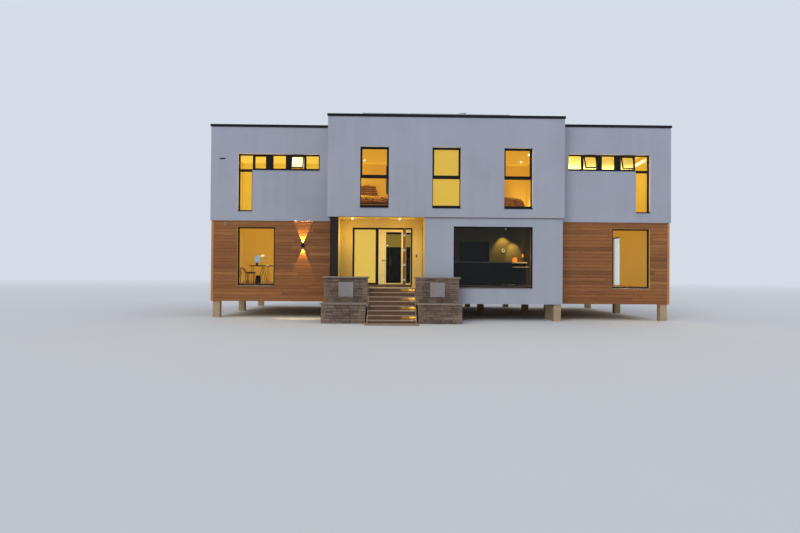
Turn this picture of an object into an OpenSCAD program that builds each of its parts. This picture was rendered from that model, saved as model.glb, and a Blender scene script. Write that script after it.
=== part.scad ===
// Modern detached house of two storeys on piers: a taller rendered centre block with a
// recessed porch, and two flat-roofed wings with timber walls below rendered ones.
// Inside the modules X is 0 at the centre block's left side, Y is 0 at its front and
// grows to the rear, and Z is 0 at the ground. place() then centres the whole in plan.

/* [Blocks in plan] */
// Width of the centre block
centre_w = 9600; // [8000:50:11600]
// Depth of the centre block, front to rear
centre_d = 10850; // [9000:50:13100]
// Width of the left wing
left_w = 5050; // [4400:50:6100]
// Width of the right wing
right_w = 4640; // [4300:50:5600]
// How far the left wing and the porch wall stand behind the centre front
left_setback = 1250; // [900:10:1600]
// How far the right wing stands behind the centre front
right_setback = 610; // [500:10:900]
// How far both wings stop short of the centre block's rear
rear_setback = 600; // [500:10:900]
// How far the lower storey's walls stand in from the rendered upper storey
lower_setback = 60; // [40:5:90]
// Thickness of the rendered upper walls
wall_t = 400; // [340:10:460]

/* [Storeys] */
// Clear height under the house
under_h = 690; // [560:10:840]
// Height of the floor beams on the piers
beam_h = 330; // [260:10:400]
// Thickness of the ground floor on the beams
ground_floor_t = 380; // [320:10:460]
// Height of the lower storey, floor to soffit
lower_storey_h = 2770; // [2600:10:3300]
// Thickness of the upper floor
upper_floor_t = 310; // [260:10:380]
// Height of the upper storey, floor to ceiling
upper_storey_h = 2770; // [2600:10:3300]
// Thickness of the roofs
roof_t = 550; // [450:10:660]
// Height of the wing parapets above the roof, with coping
wing_parapet_h = 360; // [300:10:430]
// Height of the centre parapet above the roof, with coping
centre_parapet_h = 530; // [450:10:640]
// Height of a parapet coping
coping_h = 105; // [85:5:125]
// Overhang of a parapet coping at each face
coping_out = 30; // [20:5:40]
// How far the wings' render hangs below the soffit level
render_drop = 80; // [60:5:100]

/* [Piers and beams] */
// Side of a square pier
pier_w = 290; // [240:10:350]
// Distance from a lower wall's face to the nearest pier
pier_inset = 50; // [30:5:80]
// Width of a floor beam
beam_w = 240; // [180:10:290]
// Inner pier under the lounge, from the centre block's left side
inner_pier_x = 7100; // [6400:50:7600]
// How far floors and roofs stop short of the rendered face
slab_inset = 200; // [170:5:230]

/* [Windows] */
// Width of a tall upper window
tall_w = 1155; // [980:5:1400]
// Distance between the tall windows, centre to centre
tall_pitch = 2915; // [2500:5:2990]
// Sill of the tall windows above the upper floor
tall_sill_h = 65; // [40:5:90]
// Head of the tall windows above the upper floor
tall_head_h = 2540; // [2480:10:2600]
// Middle of a tall window's transom above the upper floor
transom_h = 1345; // [1100:5:1500]
// Height of a tall window's transom
transom_face = 120; // [90:5:150]
// Length of a band window
band_w = 3435; // [3400:5:3500]
// Height of a band window
band_h = 690; // [620:10:780]
// Head of a band window above the upper floor
band_head_h = 2445; // [2380:5:2500]
// Sill of a band window's leg above the upper floor
leg_sill_h = 10; // [5:5:60]
// Gap between the left band window and the centre block
band_gap_left = 475; // [420:5:600]
// Gap between the right band window and the centre block
band_gap_right = 335; // [300:5:420]
// Width of a study window
study_w = 1570; // [1300:10:1800]
// Width of a picture window
picture_w = 3215; // [2700:5:3400]
// How far the front picture window stands from the lounge's middle toward the porch
picture_shift = 22; // [0:1:60]
// Distance between the two rear picture windows, centre to centre
rear_picture_pitch = 4500; // [4000:10:4600]
// Head of the lower windows above the ground floor
lower_head_h = 2425; // [2200:5:2500]
// How far the lower openings start below the ground floor's surface
lower_sill_drop = 80; // [60:5:100]
// Distance of an upper window's frame from the wall's outer face
upper_reveal = 140; // [110:5:160]
// Distance of a lower window's or the door's frame from the wall's outer face
lower_reveal = 60; // [40:5:90]
// Depth of a window frame
frame_d = 80; // [70:5:100]
// Visible width of a fixed frame
frame_face = 50; // [40:5:60]
// Visible width of a tall window's frame beside its fixed light
side_face = 25; // [20:5:50]
// Visible width of a tall window's frame below its fixed light
bottom_face = 115; // [60:5:130]
// Visible width of an opening light with its frame
sash_face = 70; // [60:5:90]
// Thickness of a glass unit
glass_t = 28; // [20:2:40]
// Thickness of an opening sash of a band window
sash_t = 45; // [40:5:55]
// Gap round a sash in its frame
sash_gap = 6; // [5:1:8]
// Tilt of the left band window's outer sash, in degrees
left_outer_tilt = 0; // [0:1:30]
// Tilt of the left band window's inner sash, in degrees
left_inner_tilt = 22; // [0:1:30]
// Tilt of the right band window's outer sash, in degrees
right_outer_tilt = 20; // [0:1:30]
// Tilt of the right band window's inner sash, in degrees
right_inner_tilt = 26; // [0:1:30]

/* [Porch and front door] */
// Left side of the fin at the porch, from the centre block's left side
fin_x = 120; // [80:5:160]
// Width of the fin
fin_w = 326; // [260:2:400]
// Left side of the lounge bay, from the centre block's left side
lounge_x = 3930; // [3270:10:4300]
// How far the porch floor lies below the ground floor
porch_step = 80; // [60:5:100]
// Width of the porch wall left of the door unit
porch_pier_left = 511; // [400:1:600]
// Width of the porch wall right of the door unit
porch_pier_right = 453; // [350:1:550]
// Width of the right sidelight's glass
right_light_w = 219; // [180:1:260]
// Width of the mullion at the door's lock side
mullion_w = 95; // [80:5:110]
// Width of the post at the door's hinge side
hinge_post_w = 110; // [90:5:130]
// Height of the sill below the door unit
door_sill_h = 110; // [90:5:130]
// Width of the door leaf
leaf_w = 1038; // [860:2:1250]
// Thickness of the door leaf
leaf_t = 68; // [56:2:80]
// Gap round the door leaf
leaf_gap = 10; // [9:1:12]
// Depth of the door frame
door_frame_d = 105; // [100:5:120]
// Width of the door's glass
leaf_glass_w = 655; // [500:5:680]
// Distance from the hinge edge to the door's glass
leaf_glass_inset = 68; // [60:1:120]
// Width of the leaf's top rail
leaf_top_rail = 105; // [90:5:160]
// Width of the leaf's bottom rail
leaf_bottom_rail = 50; // [40:5:80]
// Radius of a hinge barrel
barrel_r = 11; // [9:1:13]
// Height of the lever above the leaf's bottom edge
lever_h = 1010; // [950:10:1080]

/* [Entrance stair] */
// Distance of the stair's middle from the door leaf's middle
stair_shift = 46; // [0:1:80]
// Width of the treads between the strings
tread_w = 1780; // [1500:10:1900]
// Number of risers from the ground to the porch
risers = 8; // [7:1:9]
// Going of a step
going = 250; // [220:5:300]
// Depth of the flat stone at the stair's foot
foot_d = 480; // [300:10:600]
// Thickness of the flat stone at the stair's foot
foot_t = 50; // [30:5:80]
// How far the flat stone reaches past the strings on each side
foot_out = 60; // [0:5:120]
// Front edge of the top tread, ahead of the centre front
landing_out = 80; // [60:5:140]
// Thickness of a tread
tread_t = 42; // [35:1:70]
// How far a tread's nosing stands ahead of its riser
nosing = 30; // [20:2:40]
// Thickness of a side string
string_t = 50; // [40:5:60]

/* [Flank piers] */
// Width of a flank pier's base
base_w = 1675; // [1500:5:1800]
// Height of a flank pier's base, with its ledge
base_h = 760; // [700:10:900]
// Front of a flank pier's base, ahead of the centre front
base_out = 1480; // [1200:10:1600]
// Gap between the base and the stair string
base_gap = 50; // [45:5:80]
// Width of a flank pier's upper part
top_w = 1710; // [1450:10:1800]
// Height of the flank pier's top above the ground
top_h = 1770; // [1500:10:2000]
// Front of a flank pier's upper part, ahead of the centre front
top_out = 600; // [500:10:700]
// Thickness of a flank pier's ledge
ledge_t = 48; // [40:2:70]
// Overhang of a flank pier's ledge
ledge_out = 50; // [30:5:55]
// Thickness of a flank pier's coping
cap_t = 60; // [50:1:80]
// Overhang of a flank pier's coping
cap_out = 50; // [40:5:90]
// Side of the square plate on a flank pier
plate_w = 575; // [480:5:700]
// Thickness of the square plate
plate_t = 20; // [15:1:30]

/* [Lights and roof units] */
// Middle of the wall lamp left of the centre block
lamp_x = 1151; // [900:1:1500]
// Height of the wall lamp's middle above the ground floor
lamp_h = 1650; // [1500:10:1900]
// Width of the wall lamp
lamp_w = 115; // [90:5:140]
// Height of the wall lamp
lamp_body_h = 175; // [140:5:210]
// How far the wall lamp stands out
lamp_d = 105; // [80:5:130]
// Radius of a porch downlight
downlight_r = 55; // [40:5:70]
// Distance of the left porch downlight from the fin
downlight_left = 534; // [300:2:900]
// Distance of the right porch downlight from the lounge's wall
downlight_right = 1000; // [300:10:1200]
// Height of the roof panels' top edge above the roof
panel_rise = 960; // [800:5:1150]
// Height of the roof panels' bottom edge above the roof
panel_low = 110; // [90:5:200]
// Depth of a roof panel in plan
panel_d = 1300; // [1000:10:1600]

/* [Rooms] */
// Thickness of the walls behind the front rooms
room_wall_t = 100; // [80:10:140]
// Depth of the rooms behind the front walls
room_d = 3400; // [3000:50:4000]

/* [Hidden] */

$fn = 48;

// How far a cutting solid runs past the faces that it cuts
past = 5;

render_colour = "Lavender";
timber_colour = "Peru";

// Levels
ground_z = under_h + beam_h + ground_floor_t;
porch_z = ground_z - porch_step;
soffit_z = ground_z + lower_storey_h;
upper_z = soffit_z + upper_floor_t;
ceiling_z = upper_z + upper_storey_h;
roof_z = ceiling_z + roof_t;
wing_top_z = roof_z + wing_parapet_h;
centre_top_z = roof_z + centre_parapet_h;
lower_sill_z = ground_z - lower_sill_drop;
lower_head_z = ground_z + lower_head_h;
tall_sill_z = upper_z + tall_sill_h;
tall_head_z = upper_z + tall_head_h;
leg_sill_z = upper_z + leg_sill_h;
band_head_z = upper_z + band_head_h;
door_base_z = porch_z + door_sill_h;

// Lines in plan
left_x = -left_w;
right_x = centre_w + right_w;
wing_back_y = centre_d - rear_setback;
lower_t = wall_t - lower_setback;
bay_w = centre_w - lower_setback - lounge_x;
fin_right_x = fin_x + fin_w;
door_unit_x = fin_right_x + porch_pier_left;
door_unit_right_x = lounge_x - porch_pier_right;
leaf_right_x = door_unit_right_x - frame_face - right_light_w - hinge_post_w - leaf_gap;
leaf_x = leaf_right_x - leaf_w;
left_light_w = leaf_x - leaf_gap - mullion_w - door_unit_x - frame_face;
stair_x = leaf_x + leaf_w/2 + stair_shift;
stair_half_w = tread_w/2 + string_t;
tread_count = risers - 1;
riser_h = porch_z/risers;
stair_front_y = -landing_out - tread_count*going - foot_d;

// The whole in plan, with the copings at the sides and the rear
mid_x = (left_x + right_x)/2;
mid_y = (stair_front_y + centre_d + coping_out)/2;

module place() { translate([-mid_x, -mid_y, 0]) children(); }

// A block given by its low and high corners
module block(low, high) { translate(low) cube(high - low); }

// A flat outline in X and Z, made depth thick towards +Y
module upright(depth) {
    translate([0, depth, 0]) rotate([90, 0, 0]) linear_extrude(depth) children();
}

// Window places: X, Y of the middle at the wall's outer face, and the turn about Z
side_y = (left_setback + wing_back_y)/2;
left_mid = left_x/2;
right_mid = centre_w + right_w/2;
centre_mid = centre_w/2;
lounge_mid = lounge_x + bay_w/2;
study_x = -band_gap_left - band_w + study_w/2;
tall_front = [for (k = [-1:1]) [centre_mid + k*tall_pitch, 0, 0]];
tall_rear = [for (k = [-1:1]) [centre_mid + k*tall_pitch, centre_d, 180]];
tall_wing_rear = [[left_mid, wing_back_y, 180], [right_mid, wing_back_y, 180]];
tall_side = [[left_x, side_y, -90], [right_x, side_y, 90]];
tall_places = concat(tall_front, tall_rear, tall_wing_rear, tall_side);
study_right_x = centre_w + band_gap_right + band_w - study_w/2;
study_front = [[study_x, left_setback + lower_setback, 0],
               [study_right_x, right_setback + lower_setback, 0]];
study_rear = [for (x = [left_mid, right_mid]) [x, wing_back_y - lower_setback, 180]];
study_side = [[left_x + lower_setback, side_y, -90], [right_x - lower_setback, side_y, 90]];
study_places = concat(study_front, study_rear, study_side);
picture_places = concat([[lounge_mid - picture_shift, lower_setback, 0]],
    [for (k = [-1, 1]) [centre_mid + k*rear_picture_pitch/2, centre_d - lower_setback, 180]]);

module at(spot) { translate([spot[0], spot[1], 0]) rotate([0, 0, spot[2]]) children(); }

// Walls and their openings

module opening(w, low_z, high_z) {
    block([-w/2, -past, low_z], [w/2, wall_t + past, high_z]);
}

module upper_openings() {
    for (spot = tall_places) at(spot) opening(tall_w, tall_sill_z, tall_head_z);
    band_places() translate([0, -past, 0]) upright(wall_t + 2*past) band_outline();
}

module lower_openings() {
    for (spot = study_places) at(spot) opening(study_w, lower_sill_z, lower_head_z);
    for (spot = picture_places) at(spot) opening(picture_w, lower_sill_z, lower_head_z);
}

// The floors and the roof stop inside the walls, which are cut to seat on them

module plan(low, high) { translate(low) square(high - low); }

// The outline of a floor or roof plate, whose centre part starts at front_corner
module plate_outline(front_corner) {
    plan([left_x + slab_inset, left_setback + slab_inset], [centre_mid, wing_back_y - slab_inset]);
    plan([centre_mid, right_setback + slab_inset], [right_x - slab_inset, wing_back_y - slab_inset]);
    plan([slab_inset, left_setback + slab_inset], [centre_w - slab_inset, centre_d - slab_inset]);
    plan(front_corner, [centre_w - slab_inset, side_y]);
}

module ground_plate() {
    translate([0, 0, under_h + beam_h]) linear_extrude(ground_floor_t)
        plate_outline([lounge_x + slab_inset, lower_setback + slab_inset]);
}

module upper_plate(low_z, high_z) {
    translate([0, 0, low_z]) linear_extrude(high_z - low_z) plate_outline([slab_inset, slab_inset]);
}

module ground_floor() { place() color("Tan") ground_plate(); }

module upper_floor() { place() color("Tan") upper_plate(soffit_z, upper_z); }

module roof_deck() { place() color("DimGray") upper_plate(ceiling_z, roof_z); }

module all_slabs() {
    ground_plate();
    upper_plate(soffit_z, upper_z);
    upper_plate(ceiling_z, roof_z);
}

module porch_floor() {
    place() color("Gainsboro") block([fin_right_x, 0, under_h + beam_h],
        [lounge_x, left_setback, porch_z]);
}

// A wall of the lower storey with the openings cut and the floors' seats taken out
module lower_wall(low, high) {
    difference() {
        block(low, high);
        all_slabs();
        lower_openings();
    }
}

module timber_front_rear_walls() {
    left_face_x = left_x + lower_setback;
    right_face_x = right_x - lower_setback;
    bay_x = centre_w - lower_setback;
    front_left = left_setback + lower_setback;
    front_right = right_setback + lower_setback;
    rear = wing_back_y - lower_setback;
    place() color(timber_colour) {
        lower_wall([left_face_x, front_left, under_h], [fin_x, front_left + lower_t, soffit_z]);
        lower_wall([bay_x, front_right, under_h], [right_face_x, front_right + lower_t, soffit_z]);
        lower_wall([left_face_x, rear - lower_t, under_h], [lower_setback, rear, soffit_z]);
        lower_wall([bay_x, rear - lower_t, under_h], [right_face_x, rear, soffit_z]);
    }
}

module timber_side_walls() {
    left_face_x = left_x + lower_setback;
    right_face_x = right_x - lower_setback;
    place() color(timber_colour) {
        lower_wall([left_face_x, left_setback + wall_t, under_h],
                    [left_face_x + lower_t, wing_back_y - wall_t, soffit_z]);
        lower_wall([right_face_x - lower_t, right_setback + wall_t, under_h],
                    [right_face_x, wing_back_y - wall_t, soffit_z]);
    }
}

// The porch wall stands beside the door unit, and the lintel spans over it

module porch_wall() {
    place() color("White") difference() {
        union() {
            block([fin_right_x, left_setback, under_h],
                  [door_unit_x, left_setback + wall_t, soffit_z]);
            block([door_unit_right_x, left_setback, under_h],
                  [lounge_x, left_setback + wall_t, soffit_z]);
        }
        all_slabs();
    }
}

module porch_lintel() {
    place() color("White") block([door_unit_x, left_setback, lower_head_z],
        [door_unit_right_x, left_setback + wall_t, soffit_z]);
}

module porch_fin() {
    place() color("DarkSlateGray") difference() {
        block([fin_x, lower_setback, under_h],
              [fin_right_x, left_setback + wall_t, soffit_z]);
        all_slabs();
    }
}

module centre_lower_walls() {
    place() color(render_colour) {
        lower_wall([lounge_x, lower_setback, under_h],
                    [centre_w - lower_setback, wall_t, soffit_z]);
        lower_wall([lower_setback, centre_d - wall_t, under_h],
                    [centre_w - lower_setback, centre_d - lower_setback, soffit_z]);
    }
}

module centre_lower_returns() {
    bay_x = centre_w - lower_setback;
    place() color(render_colour) {
        lower_wall([lounge_x, wall_t, under_h],
                    [lounge_x + lower_t, left_setback + wall_t, soffit_z]);
        lower_wall([bay_x - lower_t, wall_t, under_h],
                    [bay_x, right_setback + wall_t, soffit_z]);
        lower_wall([lower_setback, wing_back_y - wall_t, under_h],
                    [wall_t, centre_d - wall_t, soffit_z]);
        lower_wall([bay_x - lower_t, wing_back_y - wall_t, under_h],
                    [bay_x, centre_d - wall_t, soffit_z]);
    }
}

// A wall of the upper storey, cut in the same way
module render_wall(low, high) {
    difference() {
        block(low, high);
        all_slabs();
        upper_openings();
    }
}

// The wings' render hangs as a lip in front of the timber wall's top
module wing_upper_front_rear_walls() {
    top = wing_top_z - coping_h;
    low_z = soffit_z - render_drop;
    place() color(render_colour) {
        render_wall([left_x, left_setback, soffit_z], [0, left_setback + wall_t, top]);
        block([left_x, left_setback, low_z], [0, left_setback + lower_setback, soffit_z]);
        render_wall([centre_w, right_setback, soffit_z], [right_x, right_setback + wall_t, top]);
        block([centre_w, right_setback, low_z], [right_x, right_setback + lower_setback, soffit_z]);
        render_wall([left_x, wing_back_y - wall_t, soffit_z], [0, wing_back_y, top]);
        block([left_x, wing_back_y - lower_setback, low_z], [0, wing_back_y, soffit_z]);
        render_wall([centre_w, wing_back_y - wall_t, soffit_z], [right_x, wing_back_y, top]);
        block([centre_w, wing_back_y - lower_setback, low_z], [right_x, wing_back_y, soffit_z]);
    }
}

module wing_upper_side_walls() {
    top = wing_top_z - coping_h;
    low_z = soffit_z - render_drop;
    back = wing_back_y - wall_t;
    place() color(render_colour) {
        render_wall([left_x, left_setback + wall_t, soffit_z], [left_x + wall_t, back, top]);
        block([left_x, left_setback + wall_t, low_z], [left_x + lower_setback, back, soffit_z]);
        render_wall([right_x - wall_t, right_setback + wall_t, soffit_z], [right_x, back, top]);
        block([right_x - lower_setback, right_setback + wall_t, low_z], [right_x, back, soffit_z]);
    }
}

module centre_upper_walls() {
    top = centre_top_z - coping_h;
    place() color(render_colour) {
        render_wall([0, 0, soffit_z], [centre_w, wall_t, top]);
        render_wall([0, centre_d - wall_t, soffit_z], [centre_w, centre_d, top]);
    }
}

module centre_upper_returns() {
    top = centre_top_z - coping_h;
    back = centre_d - wall_t;
    place() color(render_colour) {
        render_wall([0, wall_t, soffit_z], [wall_t, left_setback + wall_t, top]);
        render_wall([centre_w - wall_t, wall_t, soffit_z], [centre_w, right_setback + wall_t, top]);
        render_wall([0, wing_back_y - wall_t, soffit_z], [wall_t, back, top]);
        render_wall([centre_w - wall_t, wing_back_y - wall_t, soffit_z], [centre_w, back, top]);
    }
}

module centre_side_parapets() {
    top = centre_top_z - coping_h;
    back = wing_back_y - wall_t;
    place() color(render_colour) {
        block([0, left_setback + wall_t, roof_z], [wall_t, back, top]);
        block([centre_w - wall_t, right_setback + wall_t, roof_z], [centre_w, back, top]);
    }
}

// Copings come in straight lengths with a narrow joint between them
coping_joint = 4;

module coping(low, high, top) {
    block([low[0], low[1], top - coping_h], [high[0], high[1], top]);
}

module parapet_copings() {
    out = coping_out;
    gap = coping_joint;
    wing_back_in = wing_back_y - wall_t - out;
    centre_back_in = centre_d - wall_t - out;
    left_out = left_x - out;
    right_out = right_x + out;
    left_front_in = left_setback + wall_t + out;
    right_front_in = right_setback + wall_t + out;
    side_w = wall_t + 2*out;
    place() color("DimGray") {
        coping([left_out, left_setback - out], [-gap, left_front_in], wing_top_z);
        coping([left_out, wing_back_in], [-gap, wing_back_y + out], wing_top_z);
        coping([left_out, left_front_in + gap], [left_out + side_w, wing_back_in - gap], wing_top_z);
        coping([centre_w + gap, right_setback - out], [right_out, right_front_in], wing_top_z);
        coping([centre_w + gap, wing_back_in], [right_out, wing_back_y + out], wing_top_z);
        coping([right_out - side_w, right_front_in + gap], [right_out, wing_back_in - gap], wing_top_z);
        coping([-out, -out], [centre_w + out, wall_t + out], centre_top_z);
        coping([-out, centre_back_in], [centre_w + out, centre_d + out], centre_top_z);
        for (x = [-out, centre_w - wall_t - out])
            coping([x, wall_t + out + gap], [x + side_w, centre_back_in - gap], centre_top_z);
    }
}

// Walls behind the front rooms, seen through the windows
module room_walls() {
    upper_y = left_setback + wall_t + room_d;
    place() color("Wheat") {
        block([left_x + wall_t, upper_y, ground_z], [-room_wall_t, upper_y + room_wall_t, soffit_z]);
        block([lounge_x + wall_t, upper_y, ground_z],
              [centre_w - wall_t, upper_y + room_wall_t, soffit_z]);
        block([left_x + wall_t, upper_y, upper_z], [-room_wall_t, upper_y + room_wall_t, ceiling_z]);
        block([wall_t, upper_y, upper_z], [centre_w - wall_t, upper_y + room_wall_t, ceiling_z]);
        block([centre_w + room_wall_t, upper_y, upper_z],
              [right_x - wall_t, upper_y + room_wall_t, ceiling_z]);
    }
}

// Piers and beams

function spread(low, high, bays) = [for (i = [0:bays]) low + (high - low)*i/bays];

pier_edge = lower_setback + pier_inset + pier_w/2;
porch_row = left_setback + pier_edge;
rear_row = wing_back_y - pier_edge;
middle_row = (porch_row + rear_row)/2;
cheek_col = lounge_x + lower_t/2;
centre_ends = [pier_edge, centre_w - pier_edge];
wing_ends = [left_x + pier_edge, right_x - pier_edge];

module pier(x, y) {
    block([x - pier_w/2, y - pier_w/2, 0], [x + pier_w/2, y + pier_w/2, under_h]);
}

module foundation_piers() {
    place() color("BurlyWood") {
        for (x = [centre_ends[0], cheek_col, centre_ends[1]], y = [pier_edge, porch_row]) pier(x, y);
        for (x = [centre_ends[0], cheek_col, inner_pier_x, centre_ends[1]],
             y = [middle_row, centre_d - pier_edge]) pier(x, y);
        for (x = wing_ends, y = [middle_row, rear_row]) pier(x, y);
        pier(wing_ends[0], porch_row);
        pier(wing_ends[1], right_setback + pier_edge);
    }
}

module floor_beams() {
    place() color("SaddleBrown") {
        block([left_x + wall_t, middle_row - beam_w/2, under_h],
              [right_x - wall_t, middle_row + beam_w/2, under_h + beam_h]);
        block([lounge_x + lower_t, porch_row - beam_w/2, under_h],
              [centre_ends[1] + pier_w/2, porch_row + beam_w/2, under_h + beam_h]);
    }
}

// Windows

module light(w, low_z, high_z) { translate([-w/2, low_z]) square([w, high_z - low_z]); }

// A frame set back from the wall's face, cut by the lights that it is given
module frame_with_lights(back, w, low_z, high_z) {
    translate([0, back, 0]) upright(frame_d) difference() {
        light(w, low_z, high_z);
        children();
    }
}

module pane(back, w, low_z, high_z) {
    translate([0, back + (frame_d - glass_t)/2, 0]) upright(glass_t) light(w, low_z, high_z);
}

// A tall window: an opening light over a fixed one
transom_z = upper_z + transom_h;
tall_upper_low = transom_z + transom_face/2;
tall_upper_high = tall_head_z - sash_face;
tall_lower_low = tall_sill_z + bottom_face;
tall_lower_high = transom_z - transom_face/2;
tall_sash_w = tall_w - 2*sash_face;
tall_fixed_w = tall_w - 2*side_face;

module tall_window_frames() {
    place() color("DarkSlateGray") for (spot = tall_places) at(spot)
        frame_with_lights(upper_reveal, tall_w, tall_sill_z, tall_head_z) {
            light(tall_sash_w, tall_upper_low, tall_upper_high);
            light(tall_fixed_w, tall_lower_low, tall_lower_high);
        }
}

module lower_frame(w) {
    frame_with_lights(lower_reveal, w, lower_sill_z, lower_head_z)
        light(w - 2*frame_face, lower_sill_z + lower_sill_drop, lower_head_z - frame_face);
}

module lower_window_frames() {
    place() color("DarkSlateGray") {
        for (spot = study_places) at(spot) lower_frame(study_w);
        for (spot = picture_places) at(spot) lower_frame(picture_w);
    }
}

// A band window has a leg at its outer end, below a transom. Its units run inward:
// each has its width and its kind, 0 for fixed glass, 1 for a sash, 2 for a bar or panel
band_face = 45;
band_units = [[547, 0], [53, 2], [542, 1], [258, 2], [542, 0], [228, 2], [545, 1], [85, 2]];
band_low_z = band_head_z - band_h;
leg_w = 605;
leg_glass_w = leg_w - 2*band_face;
function unit_start(i) = i == 0 ? band_face : unit_start(i - 1) + band_units[i - 1][0];
last_start = unit_start(len(band_units));
sash_units = [for (i = [0:len(band_units) - 1]) if (band_units[i][1] == 1) i];

module band_outline() {
    translate([0, band_low_z]) square([band_w, band_h]);
    translate([0, leg_sill_z]) square([leg_w, band_head_z - leg_sill_z]);
}

// Puts a band window at both wings, the right one mirrored
module band_places() {
    translate([-band_gap_left - band_w, left_setback, 0]) children();
    translate([centre_w + band_gap_right + band_w, right_setback, 0])
        mirror([1, 0, 0]) children();
}

module band_lights() {
    for (i = [0:len(band_units) - 1]) if (band_units[i][1] < 2)
        translate([unit_start(i), band_low_z + band_face])
            square([band_units[i][0], band_h - 2*band_face]);
    translate([last_start, band_low_z + band_face])
        square([band_w - band_face - last_start, band_h - 2*band_face]);
    translate([band_face, leg_sill_z + band_face])
        square([leg_glass_w, band_low_z - leg_sill_z - 2*band_face]);
}

module band_window_frames() {
    place() color("DarkSlateGray") band_places() translate([0, upper_reveal, 0])
        upright(frame_d) difference() { band_outline(); band_lights(); }
}

// A top-hung sash of band unit i: its outline, turned out about its outer top edge
sash_border = 42;
sash_top_z = band_head_z - band_face - sash_gap;
sash_h = band_h - 2*band_face - 2*sash_gap;
arm_w = 14;
arm_drop = 330;
arm_reach = 340;

module hang_sash(i, tilt) {
    translate([unit_start(i) + sash_gap, upper_reveal, sash_top_z]) rotate([-tilt, 0, 0])
        translate([0, 0, -sash_h]) children();
}

module sash_ring(w) {
    upright(sash_t) difference() {
        square([w, sash_h]);
        translate([sash_border, sash_border]) square([w - 2*sash_border, sash_h - 2*sash_border]);
    }
}

module sash_pane(w) {
    translate([0, (sash_t - glass_t)/2, 0]) upright(glass_t)
        translate([sash_border, sash_border]) square([w - 2*sash_border, sash_h - 2*sash_border]);
}

function sash_w(i) = band_units[i][0] - 2*sash_gap;

// The side arm of a sash fills the gap between the frame and the sash
module sash_arms(i, tilt) {
    from = [upper_reveal + frame_d/2, sash_top_z - arm_drop];
    to = [upper_reveal + sash_t/2*cos(tilt) - arm_reach*sin(tilt),
          sash_top_z - sash_t/2*sin(tilt) - arm_reach*cos(tilt)];
    run = to - from;
    for (x = [unit_start(i), unit_start(i) + band_units[i][0] - sash_gap])
        translate([x, from[0], from[1]]) rotate([atan2(run[1], run[0]), 0, 0])
            translate([0, -arm_w/2, -arm_w/2]) cube([sash_gap, norm(run) + arm_w, arm_w]);
}

module sash_piece(part, i, tilt) {
    if (part == "ring") hang_sash(i, tilt) sash_ring(sash_w(i));
    if (part == "pane") hang_sash(i, tilt) sash_pane(sash_w(i));
    if (part == "arms") sash_arms(i, tilt);
}

module band_sashes(part) {
    translate([-band_gap_left - band_w, left_setback, 0]) {
        sash_piece(part, sash_units[0], left_outer_tilt);
        sash_piece(part, sash_units[1], left_inner_tilt);
    }
    translate([centre_w + band_gap_right + band_w, right_setback, 0]) mirror([1, 0, 0]) {
        sash_piece(part, sash_units[0], right_outer_tilt);
        sash_piece(part, sash_units[1], right_inner_tilt);
    }
}

module band_window_sashes() { place() color("DarkSlateGray") band_sashes("ring"); }

module sash_stays() { place() color("Silver") band_sashes("arms"); }

module upper_glass() {
    place() color("Gold", 0.4) {
        for (spot = tall_places) at(spot) {
            pane(upper_reveal, tall_sash_w, tall_upper_low, tall_upper_high);
            pane(upper_reveal, tall_fixed_w, tall_lower_low, tall_lower_high);
        }
        band_places() translate([0, upper_reveal + (frame_d - glass_t)/2, 0]) upright(glass_t)
            difference() {
                band_lights();
                for (i = sash_units) translate([unit_start(i), band_low_z])
                    square([band_units[i][0], band_h]);
            }
        band_sashes("pane");
    }
}

module lower_glass() {
    low_z = lower_sill_z + lower_sill_drop;
    high_z = lower_head_z - frame_face;
    place() color("Gold", 0.4) {
        for (spot = study_places) at(spot)
            pane(lower_reveal, study_w - 2*frame_face, low_z, high_z);
        for (spot = picture_places) at(spot)
            pane(lower_reveal, picture_w - 2*frame_face, low_z, high_z);
        sidelights();
    }
}

// Sills lie in front of the frames and stand a little out of the wall
sill_t = 25;
sill_out = 25;

module sill(back, w, low_z) {
    block([-w/2, -sill_out, low_z], [w/2, back, low_z + sill_t]);
}

module upper_sills() {
    place() color("DimGray") {
        for (spot = tall_places) at(spot) sill(upper_reveal, tall_w, tall_sill_z);
        band_places() {
            block([0, -sill_out, leg_sill_z], [leg_w, upper_reveal, leg_sill_z + sill_t]);
            block([leg_w, -sill_out, band_low_z], [band_w, upper_reveal, band_low_z + sill_t]);
        }
    }
}

module lower_sills() {
    place() color("Silver") {
        for (spot = study_places) at(spot) sill(lower_reveal, study_w, lower_sill_z);
        for (spot = picture_places) at(spot) sill(lower_reveal, picture_w, lower_sill_z);
    }
}

// The door unit: from the left a sidelight, a mullion, the leaf, the hinge post and a
// narrow sidelight. The leaf opens outwards on barrels at the frame's outer face

leaf_low_z = door_base_z + leaf_gap;
leaf_high_z = lower_head_z - frame_face - leaf_gap;
leaf_y = left_setback + lower_reveal;
hinge_x = leaf_right_x + leaf_gap/2;
hinge_y = leaf_y - barrel_r - 1;
stop_w = 25;
stop_gap = 6;
hinge_end = 220;
hinge_count = 4;
barrel_half = 55;
barrel_gap = 4;
hinge_plate_t = 4;
hinge_plate_w = 38;
hinge_zs = spread(leaf_low_z + hinge_end, leaf_high_z - hinge_end, hinge_count - 1);

module sidelight_holes() {
    light_z = door_base_z + frame_face;
    light_h = lower_head_z - 2*frame_face - door_base_z;
    translate([door_unit_x + frame_face, light_z]) square([left_light_w, light_h]);
    translate([leaf_right_x + leaf_gap + hinge_post_w, light_z]) square([right_light_w, light_h]);
}

module sidelights() {
    translate([0, leaf_y + (door_frame_d - glass_t)/2, 0]) upright(glass_t) sidelight_holes();
}

module leaf_hole(inset) {
    translate([leaf_x - leaf_gap + inset, door_base_z])
        square([leaf_w + 2*leaf_gap - 2*inset, lower_head_z - frame_face - door_base_z - inset]);
}

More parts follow.
